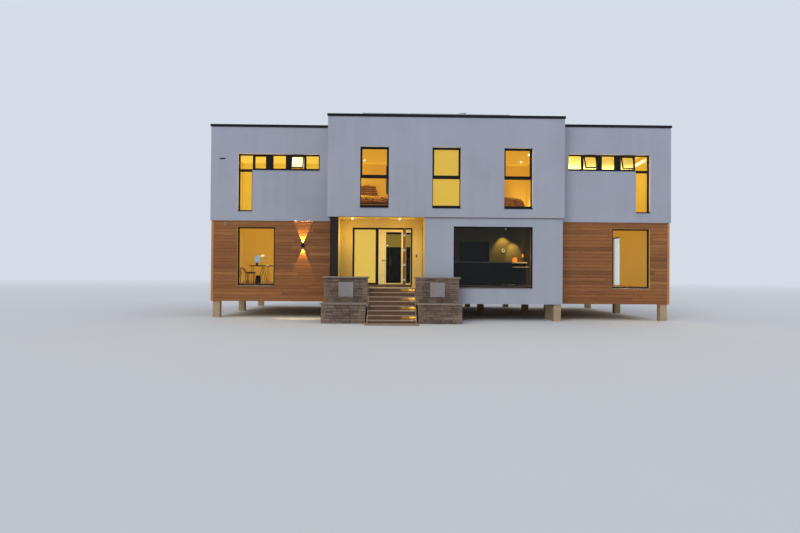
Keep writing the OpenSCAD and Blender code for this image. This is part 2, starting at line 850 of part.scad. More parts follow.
module door_frame() {
    stop_y = leaf_t + stop_gap;
    place() color("DarkSlateGray") translate([0, leaf_y, 0]) {
        upright(stop_y) door_unit_outline(0);
        translate([0, stop_y, 0]) upright(door_frame_d - stop_y) door_unit_outline(stop_w);
    }
}

module door_unit_outline(stop) {
    difference() {
        translate([door_unit_x, door_base_z])
            square([door_unit_right_x - door_unit_x, lower_head_z - door_base_z]);
        sidelight_holes();
        leaf_hole(stop);
    }
}

module door_sill() {
    place() color("SaddleBrown") block([door_unit_x, left_setback, porch_z],
        [door_unit_right_x, left_setback + slab_inset, door_base_z]);
}

module hinge_barrel(low_z) {
    translate([hinge_x, hinge_y, low_z]) cylinder(r = barrel_r, h = barrel_half);
}

module hinge_plate(low_z, dir) {
    translate([hinge_x, leaf_y - hinge_plate_t, low_z]) scale_x(dir)
        cube([hinge_plate_w, hinge_plate_t, barrel_half]);
}

module scale_x(dir) { if (dir < 0) mirror([1, 0, 0]) children(); else children(); }

module door_hinges() {
    place() color("Silver") for (z = hinge_zs) {
        hinge_barrel(z - barrel_half - barrel_gap/2);
        hinge_plate(z - barrel_half - barrel_gap/2, 1);
    }
}

leaf_glass_x = leaf_right_x - leaf_glass_inset - leaf_glass_w;
leaf_glass_z = leaf_low_z + leaf_bottom_rail;
leaf_glass_h = leaf_high_z - leaf_top_rail - leaf_glass_z;

module front_door() {
    place() color("Ivory") {
        translate([0, leaf_y, 0]) upright(leaf_t) difference() {
            translate([leaf_x, leaf_low_z]) square([leaf_w, leaf_high_z - leaf_low_z]);
            translate([leaf_glass_x, leaf_glass_z]) square([leaf_glass_w, leaf_glass_h]);
        }
        for (z = hinge_zs) {
            hinge_barrel(z + barrel_gap/2);
            hinge_plate(z + barrel_gap/2, -1);
        }
    }
}

module door_glass() {
    place() color("DarkSlateBlue", 0.5) translate([0, leaf_y + (leaf_t - glass_t)/2, 0])
        upright(glass_t) translate([leaf_glass_x, leaf_glass_z]) square([leaf_glass_w, leaf_glass_h]);
}

// Lever handles on both faces, each a rose, a neck and a lever
lever_x = 176;
rose_r = 26;
rose_t = 8;
neck_r = 10;
neck_l = 42;
lever_l = 130;

module lever() {
    rotate([90, 0, 0]) {
        cylinder(r = rose_r, h = rose_t);
        cylinder(r = neck_r, h = neck_l + neck_r);
    }
    translate([0, -neck_l, 0]) rotate([0, 90, 0]) cylinder(r = neck_r, h = lever_l);
}

module door_handles() {
    place() color("Silver") translate([leaf_x + lever_x, leaf_y, leaf_low_z + lever_h]) {
        lever();
        translate([0, leaf_t, 0]) mirror([0, 1, 0]) lever();
    }
}

// Entrance stair: treads on a stepped mass between two strings

function step_front(k) = -landing_out - (risers - k)*going;
function step_top(k) = k*riser_h;

// The stair's side outline in Y and Z, its fronts moved back by inset and tops lowered by drop
module stair_outline(inset, drop) {
    for (k = [1:risers])
        translate([step_front(k) + inset, 0])
            square([-step_front(k) - inset, step_top(k) - drop]);
}

module across(x, w) { translate([x, 0, 0]) rotate([90, 0, 90]) linear_extrude(w) children(); }

module stair_flight() {
    place() color("Sienna") across(stair_x - tread_w/2, tread_w) stair_outline(nosing, tread_t);
}

// The treads, with the flat stone in front of the lowest step
module stair_treads() {
    place() color("Gainsboro") {
        for (k = [1:risers]) {
            rear_y = k == risers ? 0 : step_front(k + 1) + nosing;
            block([stair_x - tread_w/2, step_front(k), step_top(k) - tread_t],
                  [stair_x + tread_w/2, rear_y, step_top(k)]);
        }
        block([stair_x - stair_half_w - foot_out, stair_front_y, 0],
              [stair_x + stair_half_w + foot_out, step_front(1), foot_t]);
    }
}

module stair_strings() {
    place() color("LightGray") for (x = [stair_x - stair_half_w, stair_x + tread_w/2])
        across(x, string_t) stair_outline(0, 0);
}

// Flank piers on both sides of the stair

module both_flanks() {
    translate([stair_x, 0, 0]) children();
    translate([stair_x, 0, 0]) mirror([1, 0, 0]) children();
}

base_in = stair_half_w + base_gap;

// Each has a wide base below its ledge and an upper part that stands back from it
module flank_piers() {
    place() color("DimGray") both_flanks() {
        block([base_in, -base_out, 0], [base_in + base_w, 0, base_h - ledge_t]);
        block([stair_half_w, -top_out, base_h], [stair_half_w + top_w, 0, top_h - cap_t]);
    }
}

module flank_pier_copings() {
    place() color("LightSteelBlue") both_flanks() {
        block([stair_half_w, -base_out - ledge_out, base_h - ledge_t],
              [base_in + base_w + ledge_out, 0, base_h]);
        block([stair_half_w - cap_out, -top_out - cap_out, top_h - cap_t],
              [stair_half_w + top_w + cap_out, 0, top_h]);
    }
}

module flank_pier_plates() {
    mid = stair_half_w + top_w/2;
    mid_z = (base_h + top_h)/2;
    place() color("SlateGray") both_flanks()
        block([mid - plate_w/2, -top_out - plate_t, mid_z - plate_w/2],
              [mid + plate_w/2, -top_out, mid_z + plate_w/2]);
}

// Fittings

downlight_t = 8;
downlight_y = 570;

module porch_downlights() {
    place() color("White")
        for (x = [fin_right_x + downlight_left, lounge_x - downlight_right])
            translate([x, downlight_y, soffit_z - downlight_t])
            cylinder(r = downlight_r, h = downlight_t);
}

// The wall lamp is a square tube on a plate, open at both ends round a closed middle
lamp_wall = 5;
lamp_plate_t = 15;

module wall_lamp() {
    face_y = left_setback + lower_setback;
    inner = [lamp_w - 2*lamp_wall, lamp_d - lamp_plate_t - 2*lamp_wall, lamp_body_h/3];
    place() color("Black") translate([-lamp_x, face_y, ground_z + lamp_h]) difference() {
        block([-lamp_w/2, -lamp_d, -lamp_body_h/2], [lamp_w/2, 0, lamp_body_h/2]);
        for (z = [lamp_body_h/6, -lamp_body_h/2 - past])
            translate([-inner[0]/2, -lamp_d + lamp_wall, z]) cube([inner[0], inner[1], inner[2] + past]);
    }
}

// Roof panels: two rows of slabs that fall to the rear, and between them one that falls to
// the side. Each lies on two open frames that stand on the roof

panel_y = 1400;
panel_t = 50;
panel_gap = 25;
rail_w = 40;
// Each row has its left and right side, its number of panels and how much lower it is
panel_rows = [[1320, 5345, 4, 0], [5762, 7665, 2, 5]];
side_panel_x = [5333, 5747];
side_panel_lift = 63;

// One side of an open frame: its foot, a post at each end and the rail below the panel
module panel_side(w, start_h, end_h) {
    fall = (start_h - end_h)*rail_w/w;
    square([w, rail_w]);
    polygon([[0, 0], [rail_w, 0], [rail_w, start_h - fall], [0, start_h]]);
    polygon([[w - rail_w, 0], [w, 0], [w, end_h], [w - rail_w, end_h + fall]]);
    polygon([[0, start_h], [w, end_h], [w, end_h - rail_w], [0, start_h - rail_w]]);
}

module panel_places() {
    place() for (row = panel_rows) {
        pitch = (row[1] - row[0])/row[2];
        for (i = [0:row[2] - 1]) translate([row[0] + i*pitch, panel_y, roof_z]) {
            $panel_w = pitch - panel_gap;
            $top = panel_rise - row[3];
            children();
        }
    }
}

module side_panel_place() {
    place() translate([side_panel_x[0], panel_y, roof_z]) children();
}

side_panel_w = side_panel_x[1] - side_panel_x[0];
side_panel_top = panel_rise + side_panel_lift;

module roof_panels() {
    color("MidnightBlue") {
        panel_places() across(0, $panel_w) polygon([[0, $top], [panel_d, panel_low],
            [panel_d, panel_low - panel_t], [0, $top - panel_t]]);
        side_panel_place() upright(panel_d) polygon([[0, panel_rise],
            [side_panel_w, side_panel_top], [side_panel_w, side_panel_top - panel_t],
            [0, panel_rise - panel_t]]);
    }
}

module roof_panel_frames() {
    color("Silver") {
        panel_places() for (x = [0, $panel_w - rail_w])
            across(x, rail_w) panel_side(panel_d, $top - panel_t, panel_low - panel_t);
        side_panel_place() for (y = [0, panel_d - rail_w]) translate([0, y, 0])
            upright(rail_w) panel_side(side_panel_w, panel_rise - panel_t,
                                       side_panel_top - panel_t);
    }
}

foundation_piers();
floor_beams();
ground_floor();
porch_floor();
upper_floor();
roof_deck();
timber_front_rear_walls();
timber_side_walls();
porch_wall();
porch_lintel();
porch_fin();
centre_lower_walls();
centre_lower_returns();
wing_upper_front_rear_walls();
wing_upper_side_walls();
centre_upper_walls();
centre_upper_returns();
centre_side_parapets();
parapet_copings();
room_walls();
tall_window_frames();
band_window_frames();
band_window_sashes();
sash_stays();
lower_window_frames();
upper_glass();
lower_glass();
upper_sills();
lower_sills();
door_frame();
door_sill();
door_hinges();
front_door();
door_glass();
door_handles();
stair_flight();
stair_treads();
stair_strings();
flank_piers();
flank_pier_copings();
flank_pier_plates();
porch_downlights();
wall_lamp();
roof_panels();
roof_panel_frames();
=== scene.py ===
import math
import random
from itertools import product

import bmesh
import bpy
from mathutils import Matrix, Vector, noise


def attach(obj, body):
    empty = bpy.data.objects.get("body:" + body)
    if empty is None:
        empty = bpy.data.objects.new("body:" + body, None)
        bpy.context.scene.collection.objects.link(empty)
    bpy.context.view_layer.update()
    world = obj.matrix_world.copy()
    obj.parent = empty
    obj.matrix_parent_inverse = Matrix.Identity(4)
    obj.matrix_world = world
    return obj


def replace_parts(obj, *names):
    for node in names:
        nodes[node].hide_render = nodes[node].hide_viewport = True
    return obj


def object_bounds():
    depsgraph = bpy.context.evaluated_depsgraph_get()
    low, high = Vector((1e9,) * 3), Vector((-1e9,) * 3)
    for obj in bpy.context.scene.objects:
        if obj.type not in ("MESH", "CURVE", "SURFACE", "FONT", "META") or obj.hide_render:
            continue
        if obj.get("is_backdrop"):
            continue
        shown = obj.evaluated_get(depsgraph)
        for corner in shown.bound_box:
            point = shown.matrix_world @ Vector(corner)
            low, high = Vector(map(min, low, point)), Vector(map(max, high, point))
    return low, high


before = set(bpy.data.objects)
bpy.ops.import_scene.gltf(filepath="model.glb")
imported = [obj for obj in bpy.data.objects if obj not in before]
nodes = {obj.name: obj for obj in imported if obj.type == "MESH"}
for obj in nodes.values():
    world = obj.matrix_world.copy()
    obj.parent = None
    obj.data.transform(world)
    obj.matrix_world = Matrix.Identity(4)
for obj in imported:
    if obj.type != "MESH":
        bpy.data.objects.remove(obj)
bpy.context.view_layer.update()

rng = random.Random(7)

# House coordinates: X 0 at the centre block's left side, Y 0 at its front, Z 0 on the ground.
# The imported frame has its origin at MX, MY.
MX, MY = 4.595, 4.285

# Lines and levels, as in the CAD source
UNDER, FLOOR, PORCH, SOFFIT, UPPER, CEIL, ROOF = 0.69, 1.40, 1.32, 4.17, 4.48, 7.25, 7.80
WING_TOP, CENTRE_TOP = 8.16, 8.33
LEFT, RIGHT, BACK, WING_BACK, WIDTH = -5.05, 14.24, 10.85, 10.25, 9.6
SET_L, SET_R, IN = 1.25, 0.61, 0.06
LOUNGE, FIN0, FIN1 = 3.93, 0.12, 0.446
MIDDLE, LEFT_MID, RIGHT_MID, SIDE_Y = 4.8, -2.525, 11.92, (SET_L + WING_BACK)/2
UP_Y, REAR_WALL, WALL_T = 0.128, 5.05, 0.4
# Where the linings end below the ceilings
UNDER_CEIL, UNDER_SOFFIT = CEIL - 0.014, SOFFIT - 0.014

# Windows: places with their turn, half widths and levels
SPACING = 2.915
TALL = [(MIDDLE + k*SPACING, y, turn) for y, turn in ((0.0, 0), (BACK, 180)) for k in (-1, 0, 1)] + [
    (LEFT_MID, WING_BACK, 180), (RIGHT_MID, WING_BACK, 180), (LEFT, SIDE_Y, -90), (RIGHT, SIDE_Y, 90)]
TALL_HALF, TALL_LOW, TALL_HIGH, TRANSOM, HALF_BAR = 0.5775, 4.545, 7.02, 5.825, 0.06
LOW0, LOW1 = 1.32, 3.825
STUDY_L, STUDY_R, STUDY_HALF = -3.125, 12.585, 0.785
PICTURE_X, PICTURE_HALF = 6.713, 1.6075
LOWER = [(place, STUDY_HALF) for place in (
    (STUDY_L, SET_L + IN, 0), (STUDY_R, SET_R + IN, 0), (LEFT_MID, WING_BACK - IN, 180),
    (RIGHT_MID, WING_BACK - IN, 180), (LEFT + IN, SIDE_Y, -90), (RIGHT - IN, SIDE_Y, 90))] + [
    (place, PICTURE_HALF) for place in ((PICTURE_X, IN, 0), (2.55, BACK - IN, 180), (7.05, BACK - IN, 180))]
BAND_LOW, BAND_HIGH, BAND_W, LEG_LOW, LEG_W, FACE, GAP = 6.235, 6.925, 3.435, 4.49, 0.605, 0.045, 0.006
# Units of a band window from its outer end: width and kind, 0 fixed, 1 sash, 2 panel
UNITS = [(0.547, 0), (0.053, 2), (0.542, 1), (0.258, 2), (0.542, 0), (0.228, 2), (0.545, 1), (0.085, 2)]
STARTS = [FACE + sum(u[0] for u in UNITS[:k]) for k in range(len(UNITS) + 1)]
# Place of each band window, and the tilts of its outer and inner sash
BANDS = [((-3.91, SET_L, 0, 1.0), (0, 22)), ((13.37, SET_R, 0, -1.0), (20, 26))]


# ---------------------------------------------------------------- materials

def linear(colour):
    """A colour in the eight-bit steps of a screen, as linear light."""
    return [c/255/12.92 if c/255 <= 0.04045 else ((c/255 + 0.055)/1.055)**2.4 for c in colour]


def wired(tree, kind, inputs=(), **values):
    """A node with its properties, and its inputs linked where they are sockets."""
    n = tree.nodes.new(kind)
    for key, value in values.items():
        setattr(n, key, value)
    for key, value in dict(inputs).items():
        if isinstance(value, bpy.types.NodeSocket):
            tree.links.new(value, n.inputs[key])
        else:
            n.inputs[key].default_value = value
    return n


class Paint:
    """A Principled material with helpers for its nodes."""

    def __init__(self, name, rough=0.5, metal=0.0, **sockets):
        self.mat = bpy.data.materials.new(name)
        self.mat.use_nodes = True
        self.tree = self.mat.node_tree
        self.bsdf = self.tree.nodes["Principled BSDF"]
        for key, value in dict(Roughness=rough, Metallic=metal, **sockets).items():
            self.bsdf.inputs[key.replace("_", " ")].default_value = value
        self.coords = self.node("ShaderNodeTexCoord").outputs["Object"]

    def node(self, kind, inputs=(), **values):
        return wired(self.tree, kind, inputs, **values)

    def scaled(self, *scale):
        return self.node("ShaderNodeMapping", {"Vector": self.coords, "Scale": scale}).outputs["Vector"]

    def noise(self, scale, detail=4.0, rough=0.55, vector=None, distortion=0.0):
        return self.node("ShaderNodeTexNoise", {
            "Scale": scale, "Detail": detail, "Roughness": rough, "Distortion": distortion,
            "Vector": vector or self.coords}).outputs["Fac"]

    def tone(self):
        return self.node("ShaderNodeAttribute", attribute_name="tone").outputs["Fac"]

    def maths(self, operation, a, b=0.0):
        return self.node("ShaderNodeMath", {0: a, 1: b}, operation=operation).outputs[0]

    def ramp(self, fac, *stops):
        """A ramp over fac: each stop is a place with a linear colour or a grey."""
        n = self.node("ShaderNodeValToRGB", {"Fac": fac})
        while len(n.color_ramp.elements) < len(stops):
            n.color_ramp.elements.new(0.5)
        for e, (at, colour) in zip(n.color_ramp.elements, stops):
            e.position = at
            e.color = (*([colour]*3 if isinstance(colour, (int, float)) else colour), 1.0)
        return n.outputs["Color"]

    def clouded(self, fac, colour, *stops):
        """A ramp over fac through one colour: each stop is a place and how much lighter it gets."""
        return self.ramp(fac, *((at, [min(1.0, c*f) for c in linear(colour)]) for at, f in stops))

    def mix(self, fac, a, b, blend="MULTIPLY"):
        return self.node("ShaderNodeMix", {0: fac, 6: a, 7: b}, data_type="RGBA", blend_type=blend).outputs[2]

    def feed(self, key, socket):
        self.tree.links.new(socket, self.bsdf.inputs[key])

    def colour(self, socket):
        self.feed("Base Color", socket)

    def roughness(self, fac, low, high):
        n = self.node("ShaderNodeMapRange", {"Value": fac, "To Min": low, "To Max": high})
        self.feed("Roughness", n.outputs["Result"])

    def bump(self, height, distance, strength=1.0):
        n = self.node("ShaderNodeBump", {"Height": height, "Distance": distance, "Strength": strength})
        for link in self.bsdf.inputs["Normal"].links:
            self.tree.links.new(link.from_socket, n.inputs["Normal"])
        self.feed("Normal", n.outputs["Normal"])


def rendered(name, colour, grain=0.0011):
    """Fine render: clouds, faint streaks of rain and a sandy grain."""
    p = Paint(name, 0.86)
    clouds, streaks = p.noise(0.55, 5, 0.6), p.noise(1.0, 4, 0.6, p.scaled(2.2, 2.2, 0.16))
    fac = p.maths("ADD", p.maths("MULTIPLY", clouds, 0.6), p.maths("MULTIPLY", streaks, 0.4))
    p.colour(p.mix(1.0, p.clouded(fac, colour, (0.32, 0.90), (0.5, 1.0), (0.7, 1.06)),
                   p.ramp(p.noise(420, 2, 0.6), (0.3, 0.93), (0.7, 1.04))))
    p.roughness(p.noise(60, 3), 0.78, 0.94)
    p.bump(p.noise(0.9, 3), 0.004, 0.35)
    p.bump(p.noise(520, 3, 0.7), grain, 0.8)
    return p.mat


def cedar(name, along_y):
    """Boards of a tone each, with grain and a few knots along the board."""
    p = Paint(name, 0.55)

    def along(length, across):
        return p.scaled(across, length, across) if along_y else p.scaled(length, across, across)
    tone = p.tone()
    shift = p.node("ShaderNodeCombineXYZ", {k: p.maths("MULTIPLY", tone, 37.0 + 9*k) for k in range(3)})
    vector = p.node("ShaderNodeVectorMath", {0: along(0.9, 22), 1: shift.outputs[0]},
                    operation="ADD").outputs[0]
    rings, fibre = p.noise(1.4, 6, 0.62, vector, 1.2), p.noise(9.0, 3, 0.7, vector)
    board = p.ramp(tone, *((at, linear(c)) for at, c in (
        (0.0, (122, 76, 38)), (0.3, (140, 88, 45)), (0.6, (152, 98, 51)), (0.8, (166, 110, 60)),
        (1.0, (206, 152, 96)))))
    grain = p.ramp(rings, (0.30, (0.62, 0.55, 0.48)), (0.48, (0.94, 0.92, 0.88)), (0.66, (1.10, 1.06, 1.0)))
    base = p.mix(0.55, p.mix(1.0, board, grain), p.ramp(fibre, (0.3, (0.72, 0.70, 0.68)), (0.7, 1.1)))
    spots = p.node("ShaderNodeTexVoronoi", {"Scale": 1.0, "Vector": along(1.3, 7.1)}).outputs["Distance"]
    p.colour(p.mix(0.8, base, p.ramp(spots, (0.03, (0.22, 0.15, 0.12)), (0.12, 1))))
    p.roughness(rings, 0.42, 0.68)
    p.bump(fibre, 0.0008, 0.7)
    p.bump(rings, 0.0012, 0.5)
    return p.mat


def coated(name, colour, rough=0.4, metal=0.0, gloss=0.5):
    """Powder-coated or painted metal with a fine leather-like skin and slight dust."""
    p = Paint(name, rough, metal, Specular_IOR_Level=gloss)
    p.colour(p.clouded(p.noise(2.4, 5, 0.6), colour, (0.35, 0.86), (0.68, 1.18)))
    p.roughness(p.noise(7, 4), rough - 0.07, rough + 0.12)
    p.bump(p.noise(900, 2, 0.5), 0.00025, 0.6)
    return p.mat


def painted(name, colour, rough=0.38):
    """Brushed or sprayed paint, with faint upright strokes."""
    p = Paint(name, rough, 0.0, Coat_Weight=0.15, Coat_Roughness=0.25)
    p.colour(p.clouded(p.noise(3.0, 4), colour, (0.3, 0.94), (0.7, 1.03)))
    p.roughness(p.noise(40, 3), rough - 0.06, rough + 0.1)
    p.bump(p.noise(1.0, 4, 0.6, p.scaled(160, 160, 6)), 0.0003, 0.6)
    return p.mat


def brushed(name, colour, rough=0.28):
    """Bare metal with fine level lines."""
    p = Paint(name, rough, 1.0)
    lines = p.noise(1.0, 4, 0.7, p.scaled(60, 60, 1500))
    p.colour(p.clouded(lines, colour, (0.3, 0.88), (0.7, 1.08)))
    p.roughness(lines, rough - 0.08, rough + 0.14)
    p.bump(lines, 0.00015, 0.5)
    return p.mat


def stone(name, colour, spread=0.25, grain=160, relief=0.0006, rough=0.7, toned=False):
    """Sawn or split stone: clouded, speckled, and toned stone by stone where toned."""
    p = Paint(name, rough)
    base = p.clouded(p.noise(2.6, 6, 0.62), colour, (0.28, 1 - spread), (0.5, 1.0), (0.74, 1 + spread))
    base = p.mix(1.0, base, p.ramp(p.noise(grain, 3, 0.7), (0.32, 0.80), (0.66, 1.12)))
    if toned:
        base = p.mix(1.0, base, p.ramp(
            p.tone(), (0.0, (0.55, 0.52, 0.50)), (0.3, (0.85, 0.80, 0.76)), (0.6, (1.1, 1.02, 0.94)),
            (0.85, (1.25, 1.20, 1.15)), (1.0, (1.5, 1.42, 1.3))))
        p.bump(p.noise(14, 6, 0.68, distortion=0.6), 0.016, 1.0)
    p.colour(base)
    p.roughness(p.noise(30, 4), rough - 0.12, rough + 0.14)
    p.bump(p.noise(grain*0.7, 4, 0.7), relief, 0.9)
    return p.mat


def gridded(name, colour, steps, joint_colour, rough=0.5, joint=0.006, origin=(0, 0)):
    """A tiled or boarded surface with joints at the steps in X and, where it has two, in Y."""
    p = Paint(name, rough)
    split = p.node("ShaderNodeSeparateXYZ", {0: p.coords})
    base = p.clouded(p.noise(3.0, 6, 0.6), colour, (0.3, 0.82), (0.5, 1.0), (0.7, 1.14))
    lines = 0.0
    for k, step in enumerate(steps):
        place = p.maths("DIVIDE", p.maths("SUBTRACT", split.outputs[k], origin[k]), step)
        from_line = p.maths("ABSOLUTE", p.maths("SUBTRACT", p.maths("FRACT", place), 0.5))
        lines = p.maths("MAXIMUM", lines, p.maths("GREATER_THAN", from_line, 0.5 - joint/step/2))
    p.colour(p.mix(lines, base, (*linear(joint_colour), 1.0), "MIX"))
    p.bump(p.maths("MULTIPLY", lines, -1.0), 0.002, 1.0)
    p.bump(p.noise(240, 3), 0.0004, 0.6)
    return p.mat


def glass(name, colour):
    p = Paint(name, 0.0, 0.0, Transmission_Weight=1.0, IOR=1.2, Base_Color=(*colour, 1.0))
    p.bump(p.noise(0.8, 2), 0.0015, 0.25)
    return p.mat


def glowing(name, colour, strength, base, rough=0.6):
    """Gives off light of a colour and strength, and base is its own colour. On lamps and screens it is their
    light; on room walls, ceilings, films and glaze it is painted light.
    """
    p = Paint(name, rough, 0.0, Emission_Strength=strength, Emission_Color=(*colour, 1.0))
    p.colour(p.clouded(p.noise(1.2, 4), base, (0.3, 0.94), (0.7, 1.0)))
    p.bump(p.noise(300, 3), 0.0004, 0.5)
    return p.mat


def woven(name, colour, second=None, motif=7.0, thread=620):
    """Cloth of crossed threads, with a mottled print where it has a second colour."""
    p = Paint(name, 0.9, 0.0, Sheen_Weight=0.25)
    base = p.clouded(p.noise(4.0, 5, 0.6), colour, (0.3, 0.80), (0.5, 1.0), (0.7, 1.1))
    if second:
        mask = p.ramp(p.noise(motif, 3, 0.62, distortion=1.8), (0.49, 0), (0.53, 1))
        base = p.mix(mask, base, (*linear(second), 1.0), "MIX")
    weave = p.maths("MAXIMUM", *(p.noise(1.0, 2, 0.5, p.scaled(*s))
                                 for s in ((thread, 14, 14), (14, 14, thread))))
    p.colour(p.mix(1.0, base, p.ramp(weave, (0.4, 0.86), (0.66, 1.05))))
    p.roughness(weave, 0.82, 0.96)
    p.bump(weave, 0.0006, 0.8)
    return p.mat


RENDER = rendered("fine_render", (160, 163, 177))
# The porch render is white; its warm ochre colour is painted lamp light from the porch downlights
WHITE = rendered("porch_render", (208, 178, 104), 0.0006)
CEDAR_X, CEDAR_Y, WALNUT = cedar("cedar_front", False), cedar("cedar_side", True), cedar("walnut_slats", False)
CHROME = brushed("polished_cap", (246, 240, 226), 0.16)
STEEL = brushed("brushed_steel", (196, 196, 196))
ALU = brushed("aluminium", (176, 178, 182), 0.36)
MEMBRANE = coated("breather_membrane", (20, 18, 17), 0.85)
DARK = coated("anthracite_coat", (18, 18, 20), 0.45, 0.0, 0.22)
DARK_FLAT = coated("fin_panel", (38, 34, 30), 0.6, 0.0, 0.25)
BRONZE = coated("dark_bronze", (70, 58, 40), 0.35, 0.6)
FELT = coated("roof_membrane", (92, 94, 96), 0.8)
GASKET = coated("rubber_gasket", (16, 16, 17), 0.7)
BLACKISH = coated("dark_joinery", (10, 12, 15), 0.7, 0.0, 0.15)
# Near black: painted shade for the unlit lounge's ceiling and walls
INK = coated("lounge_painted_shade", (16, 17, 17), 0.85, 0.0, 0.1)
SCREEN = coated("screen_glass", (6, 7, 8), 0.35, 0.0, 0.15)
GLASS = glass("clear_glass", (0.93, 0.96, 0.95))
TINTED = glass("door_glass_tint", (0.62, 0.70, 0.74))
CREAM = painted("cream_paint", (232, 206, 130))
BROWN = painted("brown_post", (112, 78, 44), 0.45)
WHITE_JOINERY = painted("white_joinery", (238, 234, 224))
# A darker brown-grey stone for the copings and the lower sills
COPING = stone("darker_coping_stone", (134, 121, 110), 0.14, 170, 0.0005, 0.7)
TREAD = stone("tread_stone", (148, 128, 112), 0.12, 190, 0.0004, 0.6)
SPLIT = stone("split_stone", (116, 101, 91), 0.28, 70, 0.002, 0.85, True)
MORTAR = stone("mortar", (70, 64, 58), 0.15, 240, 0.001, 0.9)
SLATE = stone("honed_slate", (138, 131, 130), 0.12, 120, 0.0003, 0.5)
TILE = stone("brown_tile", (100, 70, 46), 0.16, 260, 0.0003, 0.6)
POST = stone("pier_render", (168, 146, 118), 0.16, 200, 0.0008, 0.85)
CONCRETE = stone("bare_concrete", (128, 122, 112), 0.2, 140, 0.0008, 0.88)
WORKTOP = stone("pale_worktop", (196, 180, 150), 0.08, 260, 0.0002, 0.35)
OAK = gridded("oak_floor", (176, 134, 86), (0.16,), (74, 50, 30), 0.45, 0.003)
CELLS = gridded("solar_cells", (14, 20, 40), (0.156, 0.156), (60, 64, 74), 0.15, 0.003)
PAVING = gridded("porch_paving", (196, 190, 180), (0.6, 0.4), (96, 90, 84), 0.6, 0.006, (0.4, 0.1))
# Glowing surfaces: the colour and strength of their light, then their own colour. The room plasters, ceilings and
# films glow as though lit by the room lamps, which is painted light; the lens, display, amber glass and shade are
# lamps and a screen
PLASTER = glowing("warm_plaster_painted_glow", (1.0, 0.54, 0.03), 0.16, (226, 202, 120))
CEILING = glowing("warm_ceiling_painted_glow", (1.0, 0.54, 0.035), 0.40, (226, 202, 120))
LEMON_WALL = glowing("lemon_plaster_painted_glow", (1.0, 0.68, 0.05), 0.26, (226, 208, 124))
LEMON_CEILING = glowing("lemon_ceiling_painted_glow", (1.0, 0.70, 0.09), 0.55, (232, 214, 134))
# Dark olive with next to no glow: painted shade for the unlit lounge
OLIVE = glowing("dark_olive_painted_shade", (1.0, 0.80, 0.20), 0.003, (92, 82, 44))
HALL_WALL = glowing("hall_plaster_painted_glow", (1.0, 0.66, 0.08), 0.24, (168, 140, 64))
FROST = glowing("frosted_film_painted_glow", (1.0, 0.60, 0.045), 0.54, (190, 156, 62), 0.4)
HALL_FROST = glowing("hall_film_painted_glow", (1.0, 0.66, 0.085), 0.62, (180, 146, 66), 0.4)
LENS = glowing("opal_lens", (1.0, 0.86, 0.60), 9.0, (255, 240, 214))
DISPLAY = glowing("lit_display", (0.40, 0.56, 0.66), 0.55, (96, 118, 132), 0.3)
# The pale glaze glows though it is no lamp: painted light
PAINTED_GLOW_GLAZE = glowing("pale_glaze_painted_glow", (1.0, 0.76, 0.48), 0.20, (230, 214, 184), 0.4)
AMBER = glowing("amber_glass", (1.0, 0.26, 0.01), 0.85, (230, 120, 30), 0.25)
SHADE = glowing("lit_shade", (1.0, 0.88, 0.62), 0.9, (244, 232, 206), 0.8)
LINEN = woven("linen_pillow", (236, 206, 130))
DUVET = woven("printed_duvet", (238, 200, 110), (128, 76, 26))
SOFA_CLOTH = woven("printed_sofa", (134, 96, 42), (214, 170, 84), 9.0)
SEAT_CLOTH = woven("dark_seat", (40, 34, 28))

# The CAD nodes that stay to be seen
for mat, names in (
        (POST, "foundation_piers"), (CONCRETE, "floor_beams"), (OAK, "ground_floor upper_floor"),
        (PAVING, "porch_floor"), (FELT, "roof_deck"), (WHITE, "porch_wall porch_lintel"), (DARK_FLAT, "porch_fin"),
        (PLASTER, "timber_front_rear_walls timber_side_walls room_walls"), (STEEL, "sash_stays"),
        (RENDER, "centre_lower_walls centre_lower_returns wing_upper_front_rear_walls wing_upper_side_walls "
                 "centre_upper_walls centre_upper_returns centre_side_parapets"),
        (DARK, "tall_window_frames band_window_frames band_window_sashes lower_window_frames"),
        (GLASS, "upper_glass lower_glass"), (TINTED, "door_glass")):
    for name in names.split():
        if not nodes[name].material_slots:
            nodes[name].data.materials.append(mat)
        for slot in nodes[name].material_slots:
            slot.material = mat


# ---------------------------------------------------------------- meshes

CORNERS = list(product((-1, 1), repeat=3))
FOUR = [(-1, -1), (1, -1), (-1, 1), (1, 1)]


def circle(radius, sides):
    return [(radius*math.cos(2*math.pi*k/sides), radius*math.sin(2*math.pi*k/sides)) for k in range(sides)]


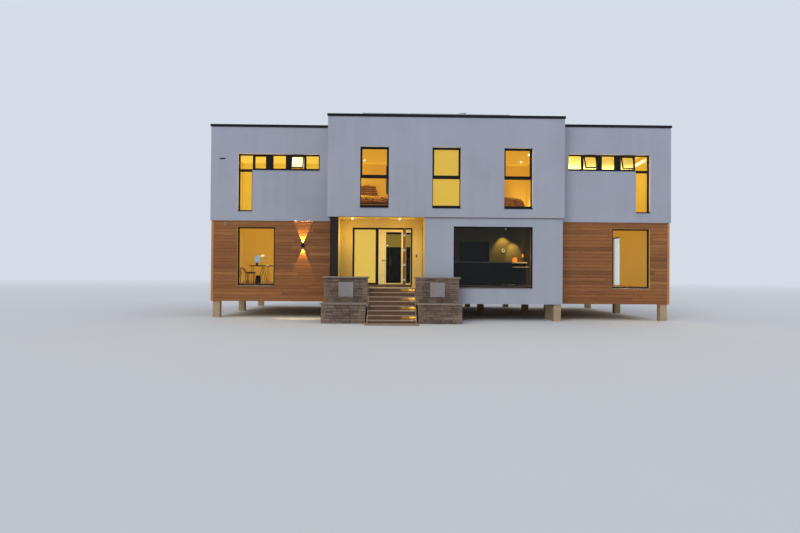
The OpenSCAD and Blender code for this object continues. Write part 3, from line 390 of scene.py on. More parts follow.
class Shape:
    """Closed forms in house coordinates, gathered into one piece that rides on a body."""

    def __init__(self, name, mats, slot, body="house"):
        self.name, self.mats, self.slot, self.body = name, mats, slot, body
        self.points, self.faces, self.indices, self.tones = [], [], [], []
        self.at()

    def at(self, x=0.0, y=0.0, degrees=0.0, flip=1.0):
        """The place and turn of what follows, with X mirrored where flip is -1."""
        c, s = math.cos(math.radians(degrees)), math.sin(math.radians(degrees))
        self.put = lambda p: (c*p[0]*flip - s*p[1] + x - MX, s*p[0]*flip + c*p[1] + y - MY, p[2])
        return self

    def add(self, points, faces, m=0, tone=None):
        """Faces of material m, with a random tone where none is given."""
        tone = rng.random() if tone is None else tone
        base = len(self.points)
        self.points += [self.put(p) for p in points]
        self.faces += [[base + i for i in f] for f in faces]
        self.indices += [m]*len(faces)
        self.tones += [tone]*len(faces)
        return self

    def loft(self, loops, m=0, tone=None, closed=False):
        """Loops of as many points each, joined in turn: back to the first, or with both ends filled."""
        n, count = len(loops[0]), len(loops)
        faces = [[k*n + q, k*n + (q + 1) % n, (k + 1) % count*n + (q + 1) % n, (k + 1) % count*n + q]
                 for k in range(count if closed else count - 1) for q in range(n)]
        if not closed:
            faces += [list(range(n)), list(range((count - 1)*n, count*n))]
        return self.add([p for loop in loops for p in loop], faces, m, tone)

    def block(self, lo, hi, bevel=0.003, m=0, tone=None, shear=None):
        """A box with chamfered edges. shear moves its points by a function of where they are."""
        half = [(b - a)/2 for a, b in zip(lo, hi)]
        inset = [h - min(bevel, h*0.45) for h in half]
        points, index = [], {}
        for signs in CORNERS:
            for axis in range(3):
                index[signs, axis] = len(points)
                points.append([(lo[k] + hi[k])/2 + signs[k]*(half if k == axis else inset)[k] for k in range(3)])
        faces = []
        for axis in range(3):
            u, w = [k for k in range(3) if k != axis]

            def corner(s, a, b):
                signs = [a, b]
                signs.insert(axis, s)
                return tuple(signs)
            for s in (-1, 1):
                faces.append([index[corner(s, a, b), axis] for a, b in ((-1, -1), (1, -1), (1, 1), (-1, 1))])
            for a, b in product((-1, 1), repeat=2):
                near, far = corner(-1, a, b), corner(1, a, b)
                faces.append([index[near, u], index[near, w], index[far, w], index[far, u]])
        faces += [[index[signs, k] for k in range(3)] for signs in CORNERS]
        return self.add([shear(p) for p in points] if shear else points, faces, m, tone)

    def blocks(self, *rows):
        for row in rows:
            self.block(*row)
        return self

    def run(self, profile, a, b, axis=0, m=0, tone=None):
        """A closed profile in the other two axes, run from a to b along axis."""
        return self.loft([[(*p[:axis], end, *p[axis:]) for p in profile] for end in (a, b)], m, tone)

    def round(self, centre, radius, length, axis=2, m=0, sides=24, tone=None, ends=0.0):
        """A round bar or disc from centre along axis, its ends chamfered by ends."""
        steps = [(0.0, radius - ends), (ends, radius), (length - ends, radius), (length, radius - ends)]
        loops = []
        for along, r in steps if ends else steps[::3]:
            ring = [(*p[:axis], along, *p[axis:]) for p in circle(r, sides)]
            loops.append([[c + d for c, d in zip(centre, p)] for p in ring])
        return self.loft(loops, m, tone)

    def rounds(self, *rows):
        for row in rows:
            self.round(*row)
        return self

    def tube(self, path, radius, m=0, sides=10):
        """A bent bar through the points of path."""
        path = [Vector(p) for p in path]
        loops = []
        for k, p in enumerate(path):
            ahead = (path[min(k + 1, len(path) - 1)] - path[max(k - 1, 0)]).normalized()
            side = (0.0, 0.0, 1.0) if abs(ahead.z) < 0.9 else (0.0, 1.0, 0.0)
            across = ahead.cross(Vector(side)).normalized()
            loops.append([tuple(p + across*a + ahead.cross(across)*b) for a, b in circle(radius, sides)])
        return self.loft(loops, m, 0.5)

    def frame(self, x0, z0, x1, z1, w, y0, y1, bevel=0.003, m=0):
        """Four mitred bars round an upright light, w wide, between the depths y0 and y1."""
        b = min(bevel, w*0.4)
        profile = ((0.0, y1), (0.0, y0 + b), (b, y0), (w - b, y0), (w, y0 + b), (w, y1))
        sections = [[(x + sx*u, y, z + sz*u) for u, y in profile]
                    for x, z, sx, sz in ((x0, z0, 1, 1), (x1, z0, -1, 1), (x1, z1, -1, -1), (x0, z1, 1, -1))]
        for k in range(4):
            self.loft([sections[k], sections[(k + 1) % 4]], m, 0.5)
        return self

    def make(self, smooth=False):
        mesh = bpy.data.meshes.new(self.name)
        mesh.from_pydata(self.points, [], self.faces)
        for mat in self.mats:
            mesh.materials.append(mat)
        mesh.polygons.foreach_set("material_index", self.indices)
        mesh.attributes.new("tone", "FLOAT", "FACE").data.foreach_set("value", self.tones)
        bm = bmesh.new()
        bm.from_mesh(mesh)
        bmesh.ops.recalc_face_normals(bm, faces=bm.faces)
        bm.to_mesh(mesh)
        bm.free()
        if smooth:
            mesh.shade_smooth()
        obj = bpy.data.objects.new(self.name, mesh)
        bpy.context.scene.collection.objects.link(obj)
        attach(obj, self.body)
        return obj


def cut(rects, holes):
    """Upright rectangles (u0, z0, u1, z1) less the holes."""
    for h in holes:
        parts = []
        for u0, z0, u1, z1 in rects:
            a, b, c, d = max(u0, h[0]), max(z0, h[1]), min(u1, h[2]), min(z1, h[3])
            if a >= c or b >= d:
                parts.append((u0, z0, u1, z1))
                continue
            parts += [r for r in ((u0, z0, u1, b), (u0, d, u1, z1), (u0, b, a, d), (c, b, u1, d))
                      if r[2] - r[0] > 0.004 and r[3] - r[1] > 0.004]
        rects = parts
    return rects


# ---------------------------------------------------------------- timber boards

# Height and thickness of a board, the width of a corner trim, and the lengths of boards
BOARD, BOARD_T, TRIM_W, SHORT, LONG = 0.14, 0.020, 0.09, 1.9, 4.4
BOARD_LOW, BOARD_HIGH = UNDER, SOFFIT - 0.002


def hole_at(u, half=STUDY_HALF):
    return (u - half, LOW0, u + half, LOW1)


for name, x, y, turn, u0, u1, hole, mat, trims in (
        ("left_front", 0, SET_L + IN, 0, LEFT + IN, FIN0, STUDY_L, CEDAR_X, [LEFT + IN - 0.02]),
        ("right_front", 0, SET_R + IN, 0, 9.54, RIGHT - IN, STUDY_R, CEDAR_X, [RIGHT - IN - 0.07]),
        ("left_side", LEFT + IN, SIDE_Y, -90, -4.44, 4.44, 0.0, CEDAR_Y, [-4.46, 4.37]),
        ("right_side", RIGHT - IN, SIDE_Y, 90, -5.08, 4.44, 0.0, CEDAR_Y, [-5.10, 4.37]),
        ("left_rear", LEFT_MID, WING_BACK - IN, 180, -2.585, 2.465, 0.0, CEDAR_X, [2.395]),
        ("right_rear", RIGHT_MID, WING_BACK - IN, 180, -2.26, 2.38, 0.0, CEDAR_X, [-2.28])):
    # Level boards over a wall that faces local -Y, from u0 to u1, round a window and the corner trims
    s = Shape("boards_" + name, [mat, MEMBRANE], "timber").at(x, y, turn)
    for a, b, c, d in cut([(u0, BOARD_LOW, u1, BOARD_HIGH)], [hole_at(hole)]):
        s.block((a, -0.003, b), (c, 0.004, d), 0.0, 1, 0.5)
    for u in trims:
        s.block((u, -BOARD_T - 0.004, BOARD_LOW), (u + TRIM_W, 0.002, BOARD_HIGH), 0.003, 0, 0.9)
    gaps = [hole_at(hole)] + [(u, BOARD_LOW, u + TRIM_W, BOARD_HIGH) for u in trims]
    z = BOARD_HIGH
    while z > BOARD_LOW + 0.01:
        low = max(BOARD_LOW, z - BOARD)
        u, breaks = u0, [u0]
        while u < u1:
            u += rng.uniform(SHORT, LONG)
            breaks.append(min(u, u1))
        if len(breaks) > 2 and breaks[-1] - breaks[-2] < 0.5:
            breaks.pop(-2)
        for a, b in zip(breaks, breaks[1:]):
            tone = min(0.85, max(0.0, rng.gauss(0.42, 0.15)))
            for p in cut([(a + 0.001, low + 0.003, b - 0.001, z - 0.003)], gaps):
                s.block((p[0], -BOARD_T, p[1]), (p[2], -0.001, p[3]), 0.0035, 0, tone)
        z = low
    s.make()


# ---------------------------------------------------------------- copings

# Height, sheet thickness and reach of a coping past the two faces of its wall, and its longest piece
COPE_H, COPE_T, COPE_IN, COPE_OUT, COPE_LONG = 0.105, 0.003, 0.43, 0.03, 3.0
JOIN, PAST = 0.434, WIDTH + 0.004

cap = Shape("pressed_copings", [DARK, MEMBRANE], "dark_metal")
for axis, line, out, a, b, top in (
        (0, SET_L, -1, LEFT - COPE_OUT, -0.004, WING_TOP), (0, WING_BACK, 1, LEFT - COPE_OUT, -0.004, WING_TOP),
        (1, LEFT, -1, SET_L + JOIN, WING_BACK - JOIN, WING_TOP),
        (0, SET_R, -1, PAST, RIGHT + COPE_OUT, WING_TOP), (0, WING_BACK, 1, PAST, RIGHT + COPE_OUT, WING_TOP),
        (1, RIGHT, 1, SET_R + JOIN, WING_BACK - JOIN, WING_TOP),
        (0, 0.0, -1, -COPE_OUT, WIDTH + COPE_OUT, CENTRE_TOP),
        (0, BACK, 1, -COPE_OUT, WIDTH + COPE_OUT, CENTRE_TOP),
        (1, 0.0, -1, JOIN, BACK - JOIN, CENTRE_TOP), (1, WIDTH, 1, JOIN, BACK - JOIN, CENTRE_TOP)):
    # A pressed coping along a wall whose outer face is at line: its top falls inward, its edges
    # are folded into drips, and straps lie under the joints between lengths of up to 3 m
    u0, u1 = sorted((line - out*COPE_IN, line + out*COPE_OUT))
    w0, w1, foot = top - 0.012*(out > 0), top - 0.012*(out < 0), top - COPE_H
    profile = [(u0, foot), (u0 + 0.008, foot), (u0 + 0.008 + COPE_T, foot + 0.008), (u0 + COPE_T, foot + 0.012),
               (u0 + COPE_T, w0 - COPE_T), (u1 - COPE_T, w1 - COPE_T), (u1 - COPE_T, foot + 0.012),
               (u1 - 0.008 - COPE_T, foot + 0.008), (u1 - 0.008, foot), (u1, foot), (u1, w1), (u0, w0)]
    count = max(1, math.ceil((b - a)/COPE_LONG))
    for k in range(count):
        lo, hi = a + (b - a)*k/count, a + (b - a)*(k + 1)/count
        cap.run(profile, lo + (0.002 if k else 0), hi - (0.002 if k < count - 1 else 0), axis, 0, 0.5)
        if k:
            strap = [(u + (0.004 if u < (u0 + u1)/2 else -0.004), w - 0.004) for u, w in profile]
            cap.run(strap, lo - 0.05, lo + 0.05, axis, 0, 0.5)
    u0, u1 = u0 + 0.03, u1 - 0.03
    cap.run([(u0, foot), (u1, foot), (u1, top - 0.02), (u0, top - 0.02)], a + 0.03, b - 0.03, axis, 1, 0.5)
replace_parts(cap.make(), "parapet_copings")


# ---------------------------------------------------------------- window beads, sashes and sills

# Depths at which the upper and lower frames start, depth of a frame, pane, and widths of the bars
UP_BACK, LOW_BACK, FRAME_D, PANE_T, FF, SF = 0.14, 0.06, 0.08, 0.028, 0.05, 0.07

trim = Shape("window_beads", [DARK, GASKET], "dark_metal")
inner_trim = Shape("inner_window_boards", [WHITE_JOINERY, STEEL], "plaster")


def bead(x0, z0, x1, z1, back):
    """Glazing beads on both faces of a light whose frame starts at the depth back, with their gasket."""
    near, far = back + (FRAME_D - PANE_T)/2, back + (FRAME_D + PANE_T)/2
    for w, y0, y1, bevel, m in ((0.009, near - 0.016, near - 0.001, 0.004, 0),
                                (0.012, near - 0.006, near + 0.002, 0.002, 1),
                                (0.009, far + 0.001, far + 0.018, 0.0, 0)):
        trim.frame(x0 - 0.001, z0 - 0.001, x1 + 0.001, z1 + 0.001, w, y0, y1, bevel, m)


def tilted(degrees, hinge):
    """Turns points about the top edge of a sash, which is at the height hinge."""
    c, s = math.cos(math.radians(degrees)), math.sin(math.radians(degrees))

    def turn(p):
        y, z = p[1] - UP_BACK, p[2] - hinge
        return (p[0], UP_BACK + y*c + z*s, hinge - y*s + z*c)
    return turn


w = TALL_HALF
for spot in TALL:
    trim.at(*spot)
    bead(-w + SF, TRANSOM + HALF_BAR, w - SF, TALL_HIGH - SF, UP_BACK)
    bead(-w + 0.025, TALL_LOW + 0.115, w - 0.025, TRANSOM - HALF_BAR, UP_BACK)
    # The opening light stands proud of its frame
    trim.frame(-w + 0.024, TRANSOM + 0.012, w - 0.024, TALL_HIGH - 0.024, 0.044,
               UP_BACK - 0.009, UP_BACK + 0.001, 0.004)
    trim.frame(-w, TALL_LOW + 0.03, w, TRANSOM + 0.004, 0.012, UP_BACK - 0.004, UP_BACK + 0.001, 0.002)
    inner_trim.at(*spot).blocks(((-w, 0.221, TALL_LOW - 0.004), (w, 0.43, TALL_LOW + 0.02), 0.005),
                                ((w - 0.06, 0.219, 6.0), (w - 0.035, 0.23, 6.13), 0.003, 1))
for spot, w in LOWER:
    trim.at(*spot)
    bead(-w + FF, FLOOR, w - FF, LOW1 - FF, LOW_BACK)
    trim.frame(-w, LOW0, w, LOW1, 0.02, LOW_BACK - 0.004, LOW_BACK + 0.001, 0.003)
    inner_trim.at(*spot).block((-w, 0.141, LOW0 + 0.001), (w, 0.36, FLOOR + 0.012), 0.005)

for place, tilts in BANDS:
    trim.at(*place)
    low, high = BAND_LOW + FACE, BAND_HIGH - FACE
    for a, (w, kind) in zip(STARTS, UNITS):
        if kind == 0:
            bead(a, low, a + w, high, UP_BACK)
        if kind == 2 and w > 0.2:
            trim.block((a + 0.012, UP_BACK - 0.005, low), (a + w - 0.012, UP_BACK + 0.001, high), 0.004)
    bead(STARTS[-1], low, BAND_W - FACE, high, UP_BACK)
    bead(FACE, LEG_LOW + FACE, LEG_W - FACE, BAND_LOW - FACE, UP_BACK)
    low, high, b = low + GAP, high - GAP, 0.042
    for k, tilt in zip((2, 6), tilts):
        a, c = STARTS[k] + GAP, STARTS[k] + UNITS[k][0] - GAP
        for x0, z0, x1, z1 in ((a, low, c, low + b), (a, high - b, c, high),
                               (a, low + b, a + b, high - b), (c - b, low + b, c, high - b)):
            trim.block((x0 + 0.002, UP_BACK - 0.006, z0 + 0.002), (x1 - 0.002, UP_BACK + 0.001, z1 - 0.002),
                       0.003, 0, 0.5, tilted(tilt, high))
trim.make()
inner_trim.make()

sills = Shape("folded_sills", [DARK], "dark_metal")


def fold(foot, a, b):
    """A folded sill from a to b over the level foot: upstand, fall and front drip."""
    low, out, back, t = foot + 0.012, -0.028, UP_BACK, 0.004
    sills.run([(back, low + 0.030), (back - t, low + 0.030), (back - t, low + 0.025), (out, low + 0.012),
               (out, low - 0.012), (out + t, low - 0.012), (out + t, low + 0.008), (back, low + 0.020)], a, b)


for spot in TALL:
    sills.at(*spot)
    fold(TALL_LOW, -TALL_HALF + 0.002, TALL_HALF - 0.002)
    for side in (-1, 1):
        u = side*(TALL_HALF - 0.004)
        sills.block((u - 0.003, -0.0285, TALL_LOW - 0.002), (u + 0.003, UP_BACK, TALL_LOW + 0.036), 0.001)
for place, _ in BANDS:
    sills.at(*place)
    fold(LEG_LOW, 0.002, LEG_W - 0.002)
    fold(BAND_LOW, LEG_W, BAND_W - 0.002)
    sills.block((LEG_W, UP_BACK - 0.010, BAND_LOW + 0.036), (BAND_W - 0.002, UP_BACK - 0.002, BAND_LOW + 0.092),
                0.001)
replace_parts(sills.make(), "upper_sills")

stone_sills = Shape("stone_sills", [COPING], "pale_stone")
for spot, w in LOWER:
    stone_sills.at(*spot).run([(LOW_BACK, LOW0 + 0.001), (-0.026, LOW0 + 0.001), (-0.028, LOW0 + 0.004),
                               (-0.028, LOW0 + 0.018), (-0.024, LOW0 + 0.022), (LOW_BACK, LOW0 + 0.034)],
                              -w + 0.002, w - 0.002)
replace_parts(stone_sills.make(), "lower_sills")


# ---------------------------------------------------------------- inner linings

# The plaster linings glow with painted lamp light from their material
walls = Shape("plaster_linings", [PLASTER], "plaster")
tall_hole = (-TALL_HALF, TALL_LOW, TALL_HALF, TALL_HIGH)
tall_three = [(u - TALL_HALF, TALL_LOW, u + TALL_HALF, TALL_HIGH) for u in (-SPACING, 0.0, SPACING)]
band_holes = [(0.0, BAND_LOW, BAND_W, BAND_HIGH), (0.0, LEG_LOW, LEG_W, BAND_LOW + 0.01)]
others = [(-2.525, 2.125), (-1.92, 2.32), (-4.1, 4.1), (-4.74, 4.1)]
# Place, span and holes of each lined wall, the storeys apart
upper_walls = [((MIDDLE, y, turn), (-4.4, 4.4), tall_three) for y, turn in ((0.0, 0), (BACK, 180))]
upper_walls += [(place, span, band_holes) for (place, _), span in zip(BANDS, ((-0.74, 3.90), (-0.47, 3.76)))]
upper_walls += [(place, span, [tall_hole]) for place, span in zip(TALL[6:], others)]
lower_walls = [(place, span, [hole_at(0.0)])
               for (place, _), span in zip(LOWER, [(-1.525, 3.245), (-3.385, 1.255)] + others)]
lower_walls += [((PICTURE_X, IN, 0), (-2.443, 2.487), [hole_at(0.0, PICTURE_HALF)]),
                ((MIDDLE, BACK - IN, 180), (-4.4, 4.4), [hole_at(u, PICTURE_HALF) for u in (-2.25, 2.25)])]
for rows, z0, z1, inner in ((upper_walls, UPPER, CEIL, WALL_T), (lower_walls, FLOOR, SOFFIT, WALL_T - IN)):
    for place, (u0, u1), holes in rows:
        walls.at(*place)
        for a, b, c, d in cut([(u0, z0, u1, z1)], holes):
            walls.block((a, inner + 0.001, b), (c, inner + 0.012, d), 0.0, 0, 0.5)
# The plastered reveals inside the frames
for spot in TALL:
    walls.at(*spot).frame(*tall_hole, 0.010, 0.222, 0.412, 0.001)
for spot, w in LOWER:
    walls.at(*spot).frame(*hole_at(0.0, w), 0.010, 0.142, 0.352, 0.001)
for place, _ in BANDS:
    walls.at(*place)
    for x0, z0, x1, z1 in ((0, BAND_HIGH - 0.010, BAND_W, BAND_HIGH), (0, LEG_LOW, 0.010, BAND_HIGH - 0.011),
                           (BAND_W - 0.010, BAND_LOW, BAND_W, BAND_HIGH - 0.011),
                           (LEG_W - 0.010, LEG_LOW + 0.001, LEG_W, BAND_LOW),
                           (LEG_W - 0.009, BAND_LOW, BAND_W - 0.011, BAND_LOW + 0.010)):
        walls.block((x0, 0.222, z0), (x1, 0.412, z1), 0.001)
walls.make()

# Side wall of the centre rooms that shows through the right tall window, and the hall's end wall, both glowing
# with painted lamp light
Shape("room_partitions", [PLASTER, HALL_WALL], "plaster").blocks(
    ((9.2, 1.012, UPPER + 0.001), (9.3, REAR_WALL - 0.002, UNDER_CEIL), 0.002, 0, 0.5),
    ((0.448, REAR_WALL, FLOOR + 0.001), (4.328, 5.15, UNDER_SOFFIT), 0.002, 1, 0.5)).make()

# Ceilings of materials 0 and 2 glow with painted lamp light
ceilings = Shape("plaster_ceilings", [CEILING, INK, LEMON_CEILING], "plaster")
# The lounge ceiling, material 1, is near black: painted shade
for z, rects in ((CEIL, ((-4.65, 1.65, 0.0, 9.85, 2), (0.4, 0.4, 9.2, 10.45, 0), (0.0, 1.65, 0.4, 9.85, 0),
                         (9.2, 1.01, 9.6, 9.85, 0), (9.6, 1.01, 13.84, 9.85, 2))),
                 (SOFFIT, ((-4.65, 1.65, 0.446, 9.85, 0), (0.446, 1.65, 4.27, 10.45, 0),
                           (4.27, 0.40, 9.2, 5.1, 1), (4.27, 5.1, 9.2, 10.45, 0), (9.2, 1.01, 13.84, 9.85, 0)))):
    for a, b, c, d, m in rects:
        ceilings.block((a + 0.001, b + 0.001, z - 0.013), (c - 0.001, d - 0.001, z - 0.001), 0.0, m, 0.5)
ceilings.make()
# The wing rooms' walls glow with painted lamp light
Shape("wing_room_walls", [LEMON_WALL], "plaster").blocks(*(
    ((a, b, UPPER + 0.118), (c, d, UNDER_CEIL), 0.0, 0, 0.5) for a, b, c, d in (
        (-4.637, 5.031, -0.002, 5.048), (9.302, 5.031, 13.826, 5.048), (9.302, 1.30, 12.96, 1.312)))).make()

skirting = Shape("skirtings", [WHITE_JOINERY], "plaster")
for z, a, c in ((UPPER, -4.6, 13.8), (FLOOR, -4.6, -0.12), (FLOOR, 4.3, 9.18)):
    skirting.run([(REAR_WALL, z), (REAR_WALL - 0.018, z), (REAR_WALL - 0.018, z + 0.105),
                  (REAR_WALL - 0.012, z + 0.115), (REAR_WALL, z + 0.115)], a, c)
skirting.make()


# ---------------------------------------------------------------- rooms behind the windows

def cushion(name, mat, place, size, lean=0.0, turn=0.0, pull=0.07, rounded=0.0, rest=0.3, n=26,
            slot="plaster"):
    """A stuffed form of X, Y and Z size: crowned, its sides drawn in, flattened where it rests."""
    w, d, t = (v/2 for v in size)
    a, b = math.radians(lean), math.radians(turn)
    points, faces, index = [], [], {}
    for face in (1, -1):
        for i, j in product(range(n + 1), repeat=2):
            if face < 0 and (i in (0, n) or j in (0, n)):
                index[face, i, j] = index[1, i, j]
                continue
            u, v = 2*i/n - 1, 2*j/n - 1
            crown = ((1 - u**4)*(1 - v**4))**0.5*(1 + 0.10*noise.noise(Vector((3*u + place[0], 3*v, 5*face))))
            x = w*u*(1 - pull*(1 - v*v)*u*u)*math.sqrt(1 - rounded*v*v/2)
            y = d*v*(1 - pull*(1 - u*u)*v*v)*math.sqrt(1 - rounded*u*u/2)
            z = t*crown if face > 0 else -min(t*crown, t*(1 - rest))
            y, z = y*math.cos(a) - z*math.sin(a), y*math.sin(a) + z*math.cos(a)
            x, y = x*math.cos(b) - y*math.sin(b), x*math.sin(b) + y*math.cos(b)
            index[face, i, j] = len(points)
            points.append((place[0] + x, place[1] + y, place[2] + z))
        faces += [[index[face, i, j], index[face, i + 1, j], index[face, i + 1, j + 1], index[face, i, j + 1]]
                  for i, j in product(range(n), repeat=2)]
    Shape(name, [mat], slot).add(points, faces, 0, 0.5).make(True)


ON_FLOOR, ON_UPPER = FLOOR + 0.001, UPPER + 0.001

# Left bedroom: a slatted headboard, mattress, pillows and a printed duvet
bed = Shape("bed_frame", [WALNUT, STEEL], "timber").block((0.74, 2.46, 4.64), (2.80, 4.84, 4.79), 0.012, 0, 0.3)
for x, y in product((0.80, 2.68), (2.52, 4.72)):
    bed.block((x, y, ON_UPPER), (x + 0.06, y + 0.06, 4.641), 0.004, 0, 0.4)
for k in range(11):
    z = 5.01 + 0.105*k
    bed.block((0.62, 4.90, z), (2.02 - 0.30*max(0.0, z - 5.4), 4.93, z + 0.088), 0.008, 0, 0.15 + 0.04*(k % 3))
for x in (0.70, 1.20, 1.66):
    bed.block((x, 4.931, ON_UPPER), (x + 0.07, 4.97, 6.12), 0.006, 0, 0.2)
bed.blocks(((2.095, 5.030, 5.935), (2.120, 5.048, 5.975), 0.003, 1),
           ((1.25, 4.93, 6.165), (1.42, 4.98, 6.20), 0.006, 0, 0.9),
           ((1.46, 4.93, 6.165), (1.50, 4.98, 6.23), 0.006, 0, 0.1),
           ((2.352, 0.46, 5.16), (2.44, 0.50, 6.30), 0.01, 0, 0.02)).make()
cushion("mattress", LINEN, (1.77, 3.65, 4.90), (1.98, 2.32, 0.30), pull=0.01, rest=0.1)
for k, (x, z, tilt) in enumerate(((1.02, 5.42, 66), (1.66, 5.41, 62), (2.26, 5.40, 68))):
    cushion("pillow_%d" % k, LINEN, (x, 4.62, z), (0.68, 0.56, 0.22), tilt, 4*(k - 1), 0.10)
cushion("duvet", DUVET, (1.77, 3.30, 5.20), (2.24, 1.66, 0.34), pull=0.03, rest=0.35, n=34)

# Middle bedroom and the hall's left light: frosted film on the inside of the panes, glowing with painted lamp
# light
w = TALL_HALF
film = Shape("frosted_films", [FROST, HALL_FROST], "window_glass").at(MIDDLE, 0.0).blocks(
    ((-w + 0.072, 0.196, TRANSOM + 0.062), (w - 0.072, 0.198, TALL_HIGH - 0.072), 0.0, 0, 0.5),
    ((-w + 0.027, 0.196, TALL_LOW + 0.117), (w - 0.027, 0.198, TRANSOM - 0.062), 0.0, 0, 0.5))
film.at().block((1.009, 1.378, 1.482), (1.9425, 1.380, 3.773), 0.0, 1, 0.5).make()
Shape("bedside_lamp", [SHADE, STEEL], "lamp_light").rounds(
    ((4.39, 0.75, 5.27), 0.055, 0.10, 2, 0, 32, 0.5, 0.008), ((4.39, 0.75, ON_UPPER), 0.012, 0.79, 2, 1, 16),
    ((4.39, 0.75, ON_UPPER), 0.11, 0.012, 2, 1, 32, 0.5, 0.004)).make()

# Right bedroom: a curved sofa with its back to the window
cushion("sofa_back", SOFA_CLOTH, (7.62, 2.0, 4.885), (1.62, 0.78, 0.30), 88, 0, -0.02, 0.75, 0.4, 34)
cushion("sofa_seat", SOFA_CLOTH, (7.60, 2.48, 4.78), (1.44, 0.72, 0.24), 0, 0, 0.02, 0.3, 0.4)
sofa = Shape("sofa_base", [WALNUT], "timber").block((6.92, 1.92, 4.56), (8.28, 2.84, 4.66), 0.02, 0, 0.2)
for x, y in product((7.01, 8.19), (2.01, 2.75)):
    sofa.round((x, y, ON_UPPER), 0.024, 0.08, 2, 0, 20, 0.2, 0.004)
sofa.make()

# Ceiling lights, and what is lit behind the band windows: a shade, a tube, a shelf and a slim lamp
spots = Shape("ceiling_spots", [LENS, STEEL, SHADE], "lamp_light")
for x, y, z in ((1.32, 4.0, CEIL), (8.72, 4.0, CEIL), (8.70, 2.35, CEIL), (2.41, 4.42, 3.26)):
    spots.rounds(((x, y, z - 0.028), 0.042, 0.014, 2, 0, 28, 0.5, 0.003),
                 ((x, y, z - 0.022), 0.056, 0.008, 2, 1, 28, 0.5, 0.002))
spots.block((-1.94, 2.98, 6.74), (-1.41, 3.30, 7.14), 0.02, 2, 0.5)
spots.round((-1.675, 3.14, 7.139), 0.008, 0.098, 2, 1, 12)
spots.tube([(12.93, 1.24, 6.56), (13.14, 1.24, 6.66), (13.30, 1.24, 6.76), (13.49, 1.24, 6.84)], 0.068, 2, 16)
spots.blocks(((9.66, 1.10, 6.36), (12.93, 1.16, 6.385), 0.004, 1, 0.5),
             ((-2.0, 1.74, 6.49), (-1.38, 1.80, 6.60), 0.006, 2, 0.5)).make()

# Lounge: dark island with a pale worktop, a screen, a ring and amber lamps; the ring and small rounds on the
# island glow with painted light
# The lounge's dark olive and near-black linings are painted shade for the unlit room
Shape("lounge_linings", [OLIVE, INK], "plaster").blocks(*(
    ((a, b, ON_FLOOR), (c, d, UNDER_SOFFIT), 0.0, m, 0.5) for a, b, c, d, m in (
        (4.335, 5.036, 9.186, 5.048, 0), (9.187, 0.411, 9.199, 5.035, 0), (4.271, 0.411, 4.283, 5.035, 1),
        (4.29, 0.401, PICTURE_X - PICTURE_HALF, 0.413, 1)))).make()
island = Shape("kitchen_island", [BLACKISH, WORKTOP, STEEL, PAINTED_GLOW_GLAZE], "dark_metal")
for k in range(5):
    x = 5.0 + 0.70*k
    island.block((x + 0.002, 1.92, 1.50), (x + 0.698, 2.70, 2.39), 0.003, 0, 0.5)
island.blocks(((5.0, 1.97, ON_FLOOR), (8.5, 2.66, 1.50), 0.003), ((4.96, 1.87, 2.39), (7.86, 2.74, 2.43), 0.008),
              ((4.96, 1.866, 2.418), (7.86, 1.872, 2.424), 0.001, 2),
              ((7.861, 1.87, 2.385), (8.56, 2.74, 2.43), 0.014, 1),
              ((7.90, 1.86, 2.205), (8.60, 1.90, 2.235), 0.006, 1))
# Small pale rounds along the island's front, glowing with painted light
for x in (6.918, 7.507, 7.708, 7.776, 7.888, 7.944, 8.0, 8.157, 8.317, 8.429):
    island.round((x, 1.872, 1.452), 0.011, 0.044, 1, 3, 12)
island.make()
Shape("wall_screen", [SCREEN, BLACKISH], "dark_metal").blocks(
    ((5.96, 4.985, 2.50), (7.40, 5.035, 3.47), 0.006, 1),
    ((5.972, 4.982, 2.515), (7.388, 4.986, 3.458), 0.001)).make()
# The ring glows with painted light
Shape("ring_ornament", [PAINTED_GLOW_GLAZE], "pale_stone").loft(
    [[(8.105 + (0.060 + a)*c, 5.010 + b, 3.07 + 1.25*(0.060 + a)*s) for a, b in circle(0.016, 12)]
     for c, s in circle(1.0, 40)], 0, 0.5, True).make(True)
Shape("amber_lamps", [AMBER, STEEL, SHADE], "lamp_light").blocks(
    ((7.955, 2.10, 2.432), (8.145, 2.30, 2.645), 0.035, 0, 0.5),
    ((8.00, 2.16, 2.4305), (8.10, 2.24, 2.4335), 0.001, 1),
    ((9.015, 4.95, 2.74), (9.095, 5.034, 2.90), 0.02, 0, 0.5)).rounds(
    ((8.13, 4.6, 4.085), 0.042, 0.012, 2, 2, 28, 0.5, 0.004), ((8.13, 4.6, 4.096), 0.012, 0.061, 2, 1, 12)).make()

# Hall: dark cupboards under an olive wall, with a beam above
hall = Shape("hall_cupboards", [BLACKISH, STEEL], "dark_metal")
for k in range(5):
    x = 1.40 + 0.56*k
    hall.blocks(((x + 0.002, 4.48, FLOOR + 0.06), (x + 0.558, 5.04, 3.17), 0.004),
                ((x + 0.05, 4.462, 2.30), (x + 0.062, 4.481, 2.62), 0.002, 1))
hall.blocks(((1.40, 4.52, ON_FLOOR), (4.20, 5.04, FLOOR + 0.06), 0.002),
            ((0.46, 4.60, 3.80), (4.25, 4.76, UNDER_SOFFIT), 0.004)).make()

# Study: desk on a trestle, screen, reading lamp, wire chair, stool and bin
study = Shape("study_desk", [BLACKISH, BRONZE, STEEL, DISPLAY, WALNUT], "timber")
study.block((-3.68, 2.45, 2.178), (-2.74, 2.95, 2.218), 0.006, 0, 0.5)
for y in (2.52, 2.88):
    for x0, x1, radius, m in ((-3.125, -2.955, 0.010, 1), (-3.125, -3.30, 0.010, 1),
                              (-2.90, -2.895, 0.009, 4), (-3.60, -3.605, 0.009, 4)):
        study.tube([(x0, y, 2.19), (x1, y, ON_FLOOR)], radius, m)


def turned(p):
    """Leans and turns the screen on the desk."""
    return (p[0] + 0.12*(p[2] - 2.36), p[1] + 0.1*(p[2] - 2.36), p[2])


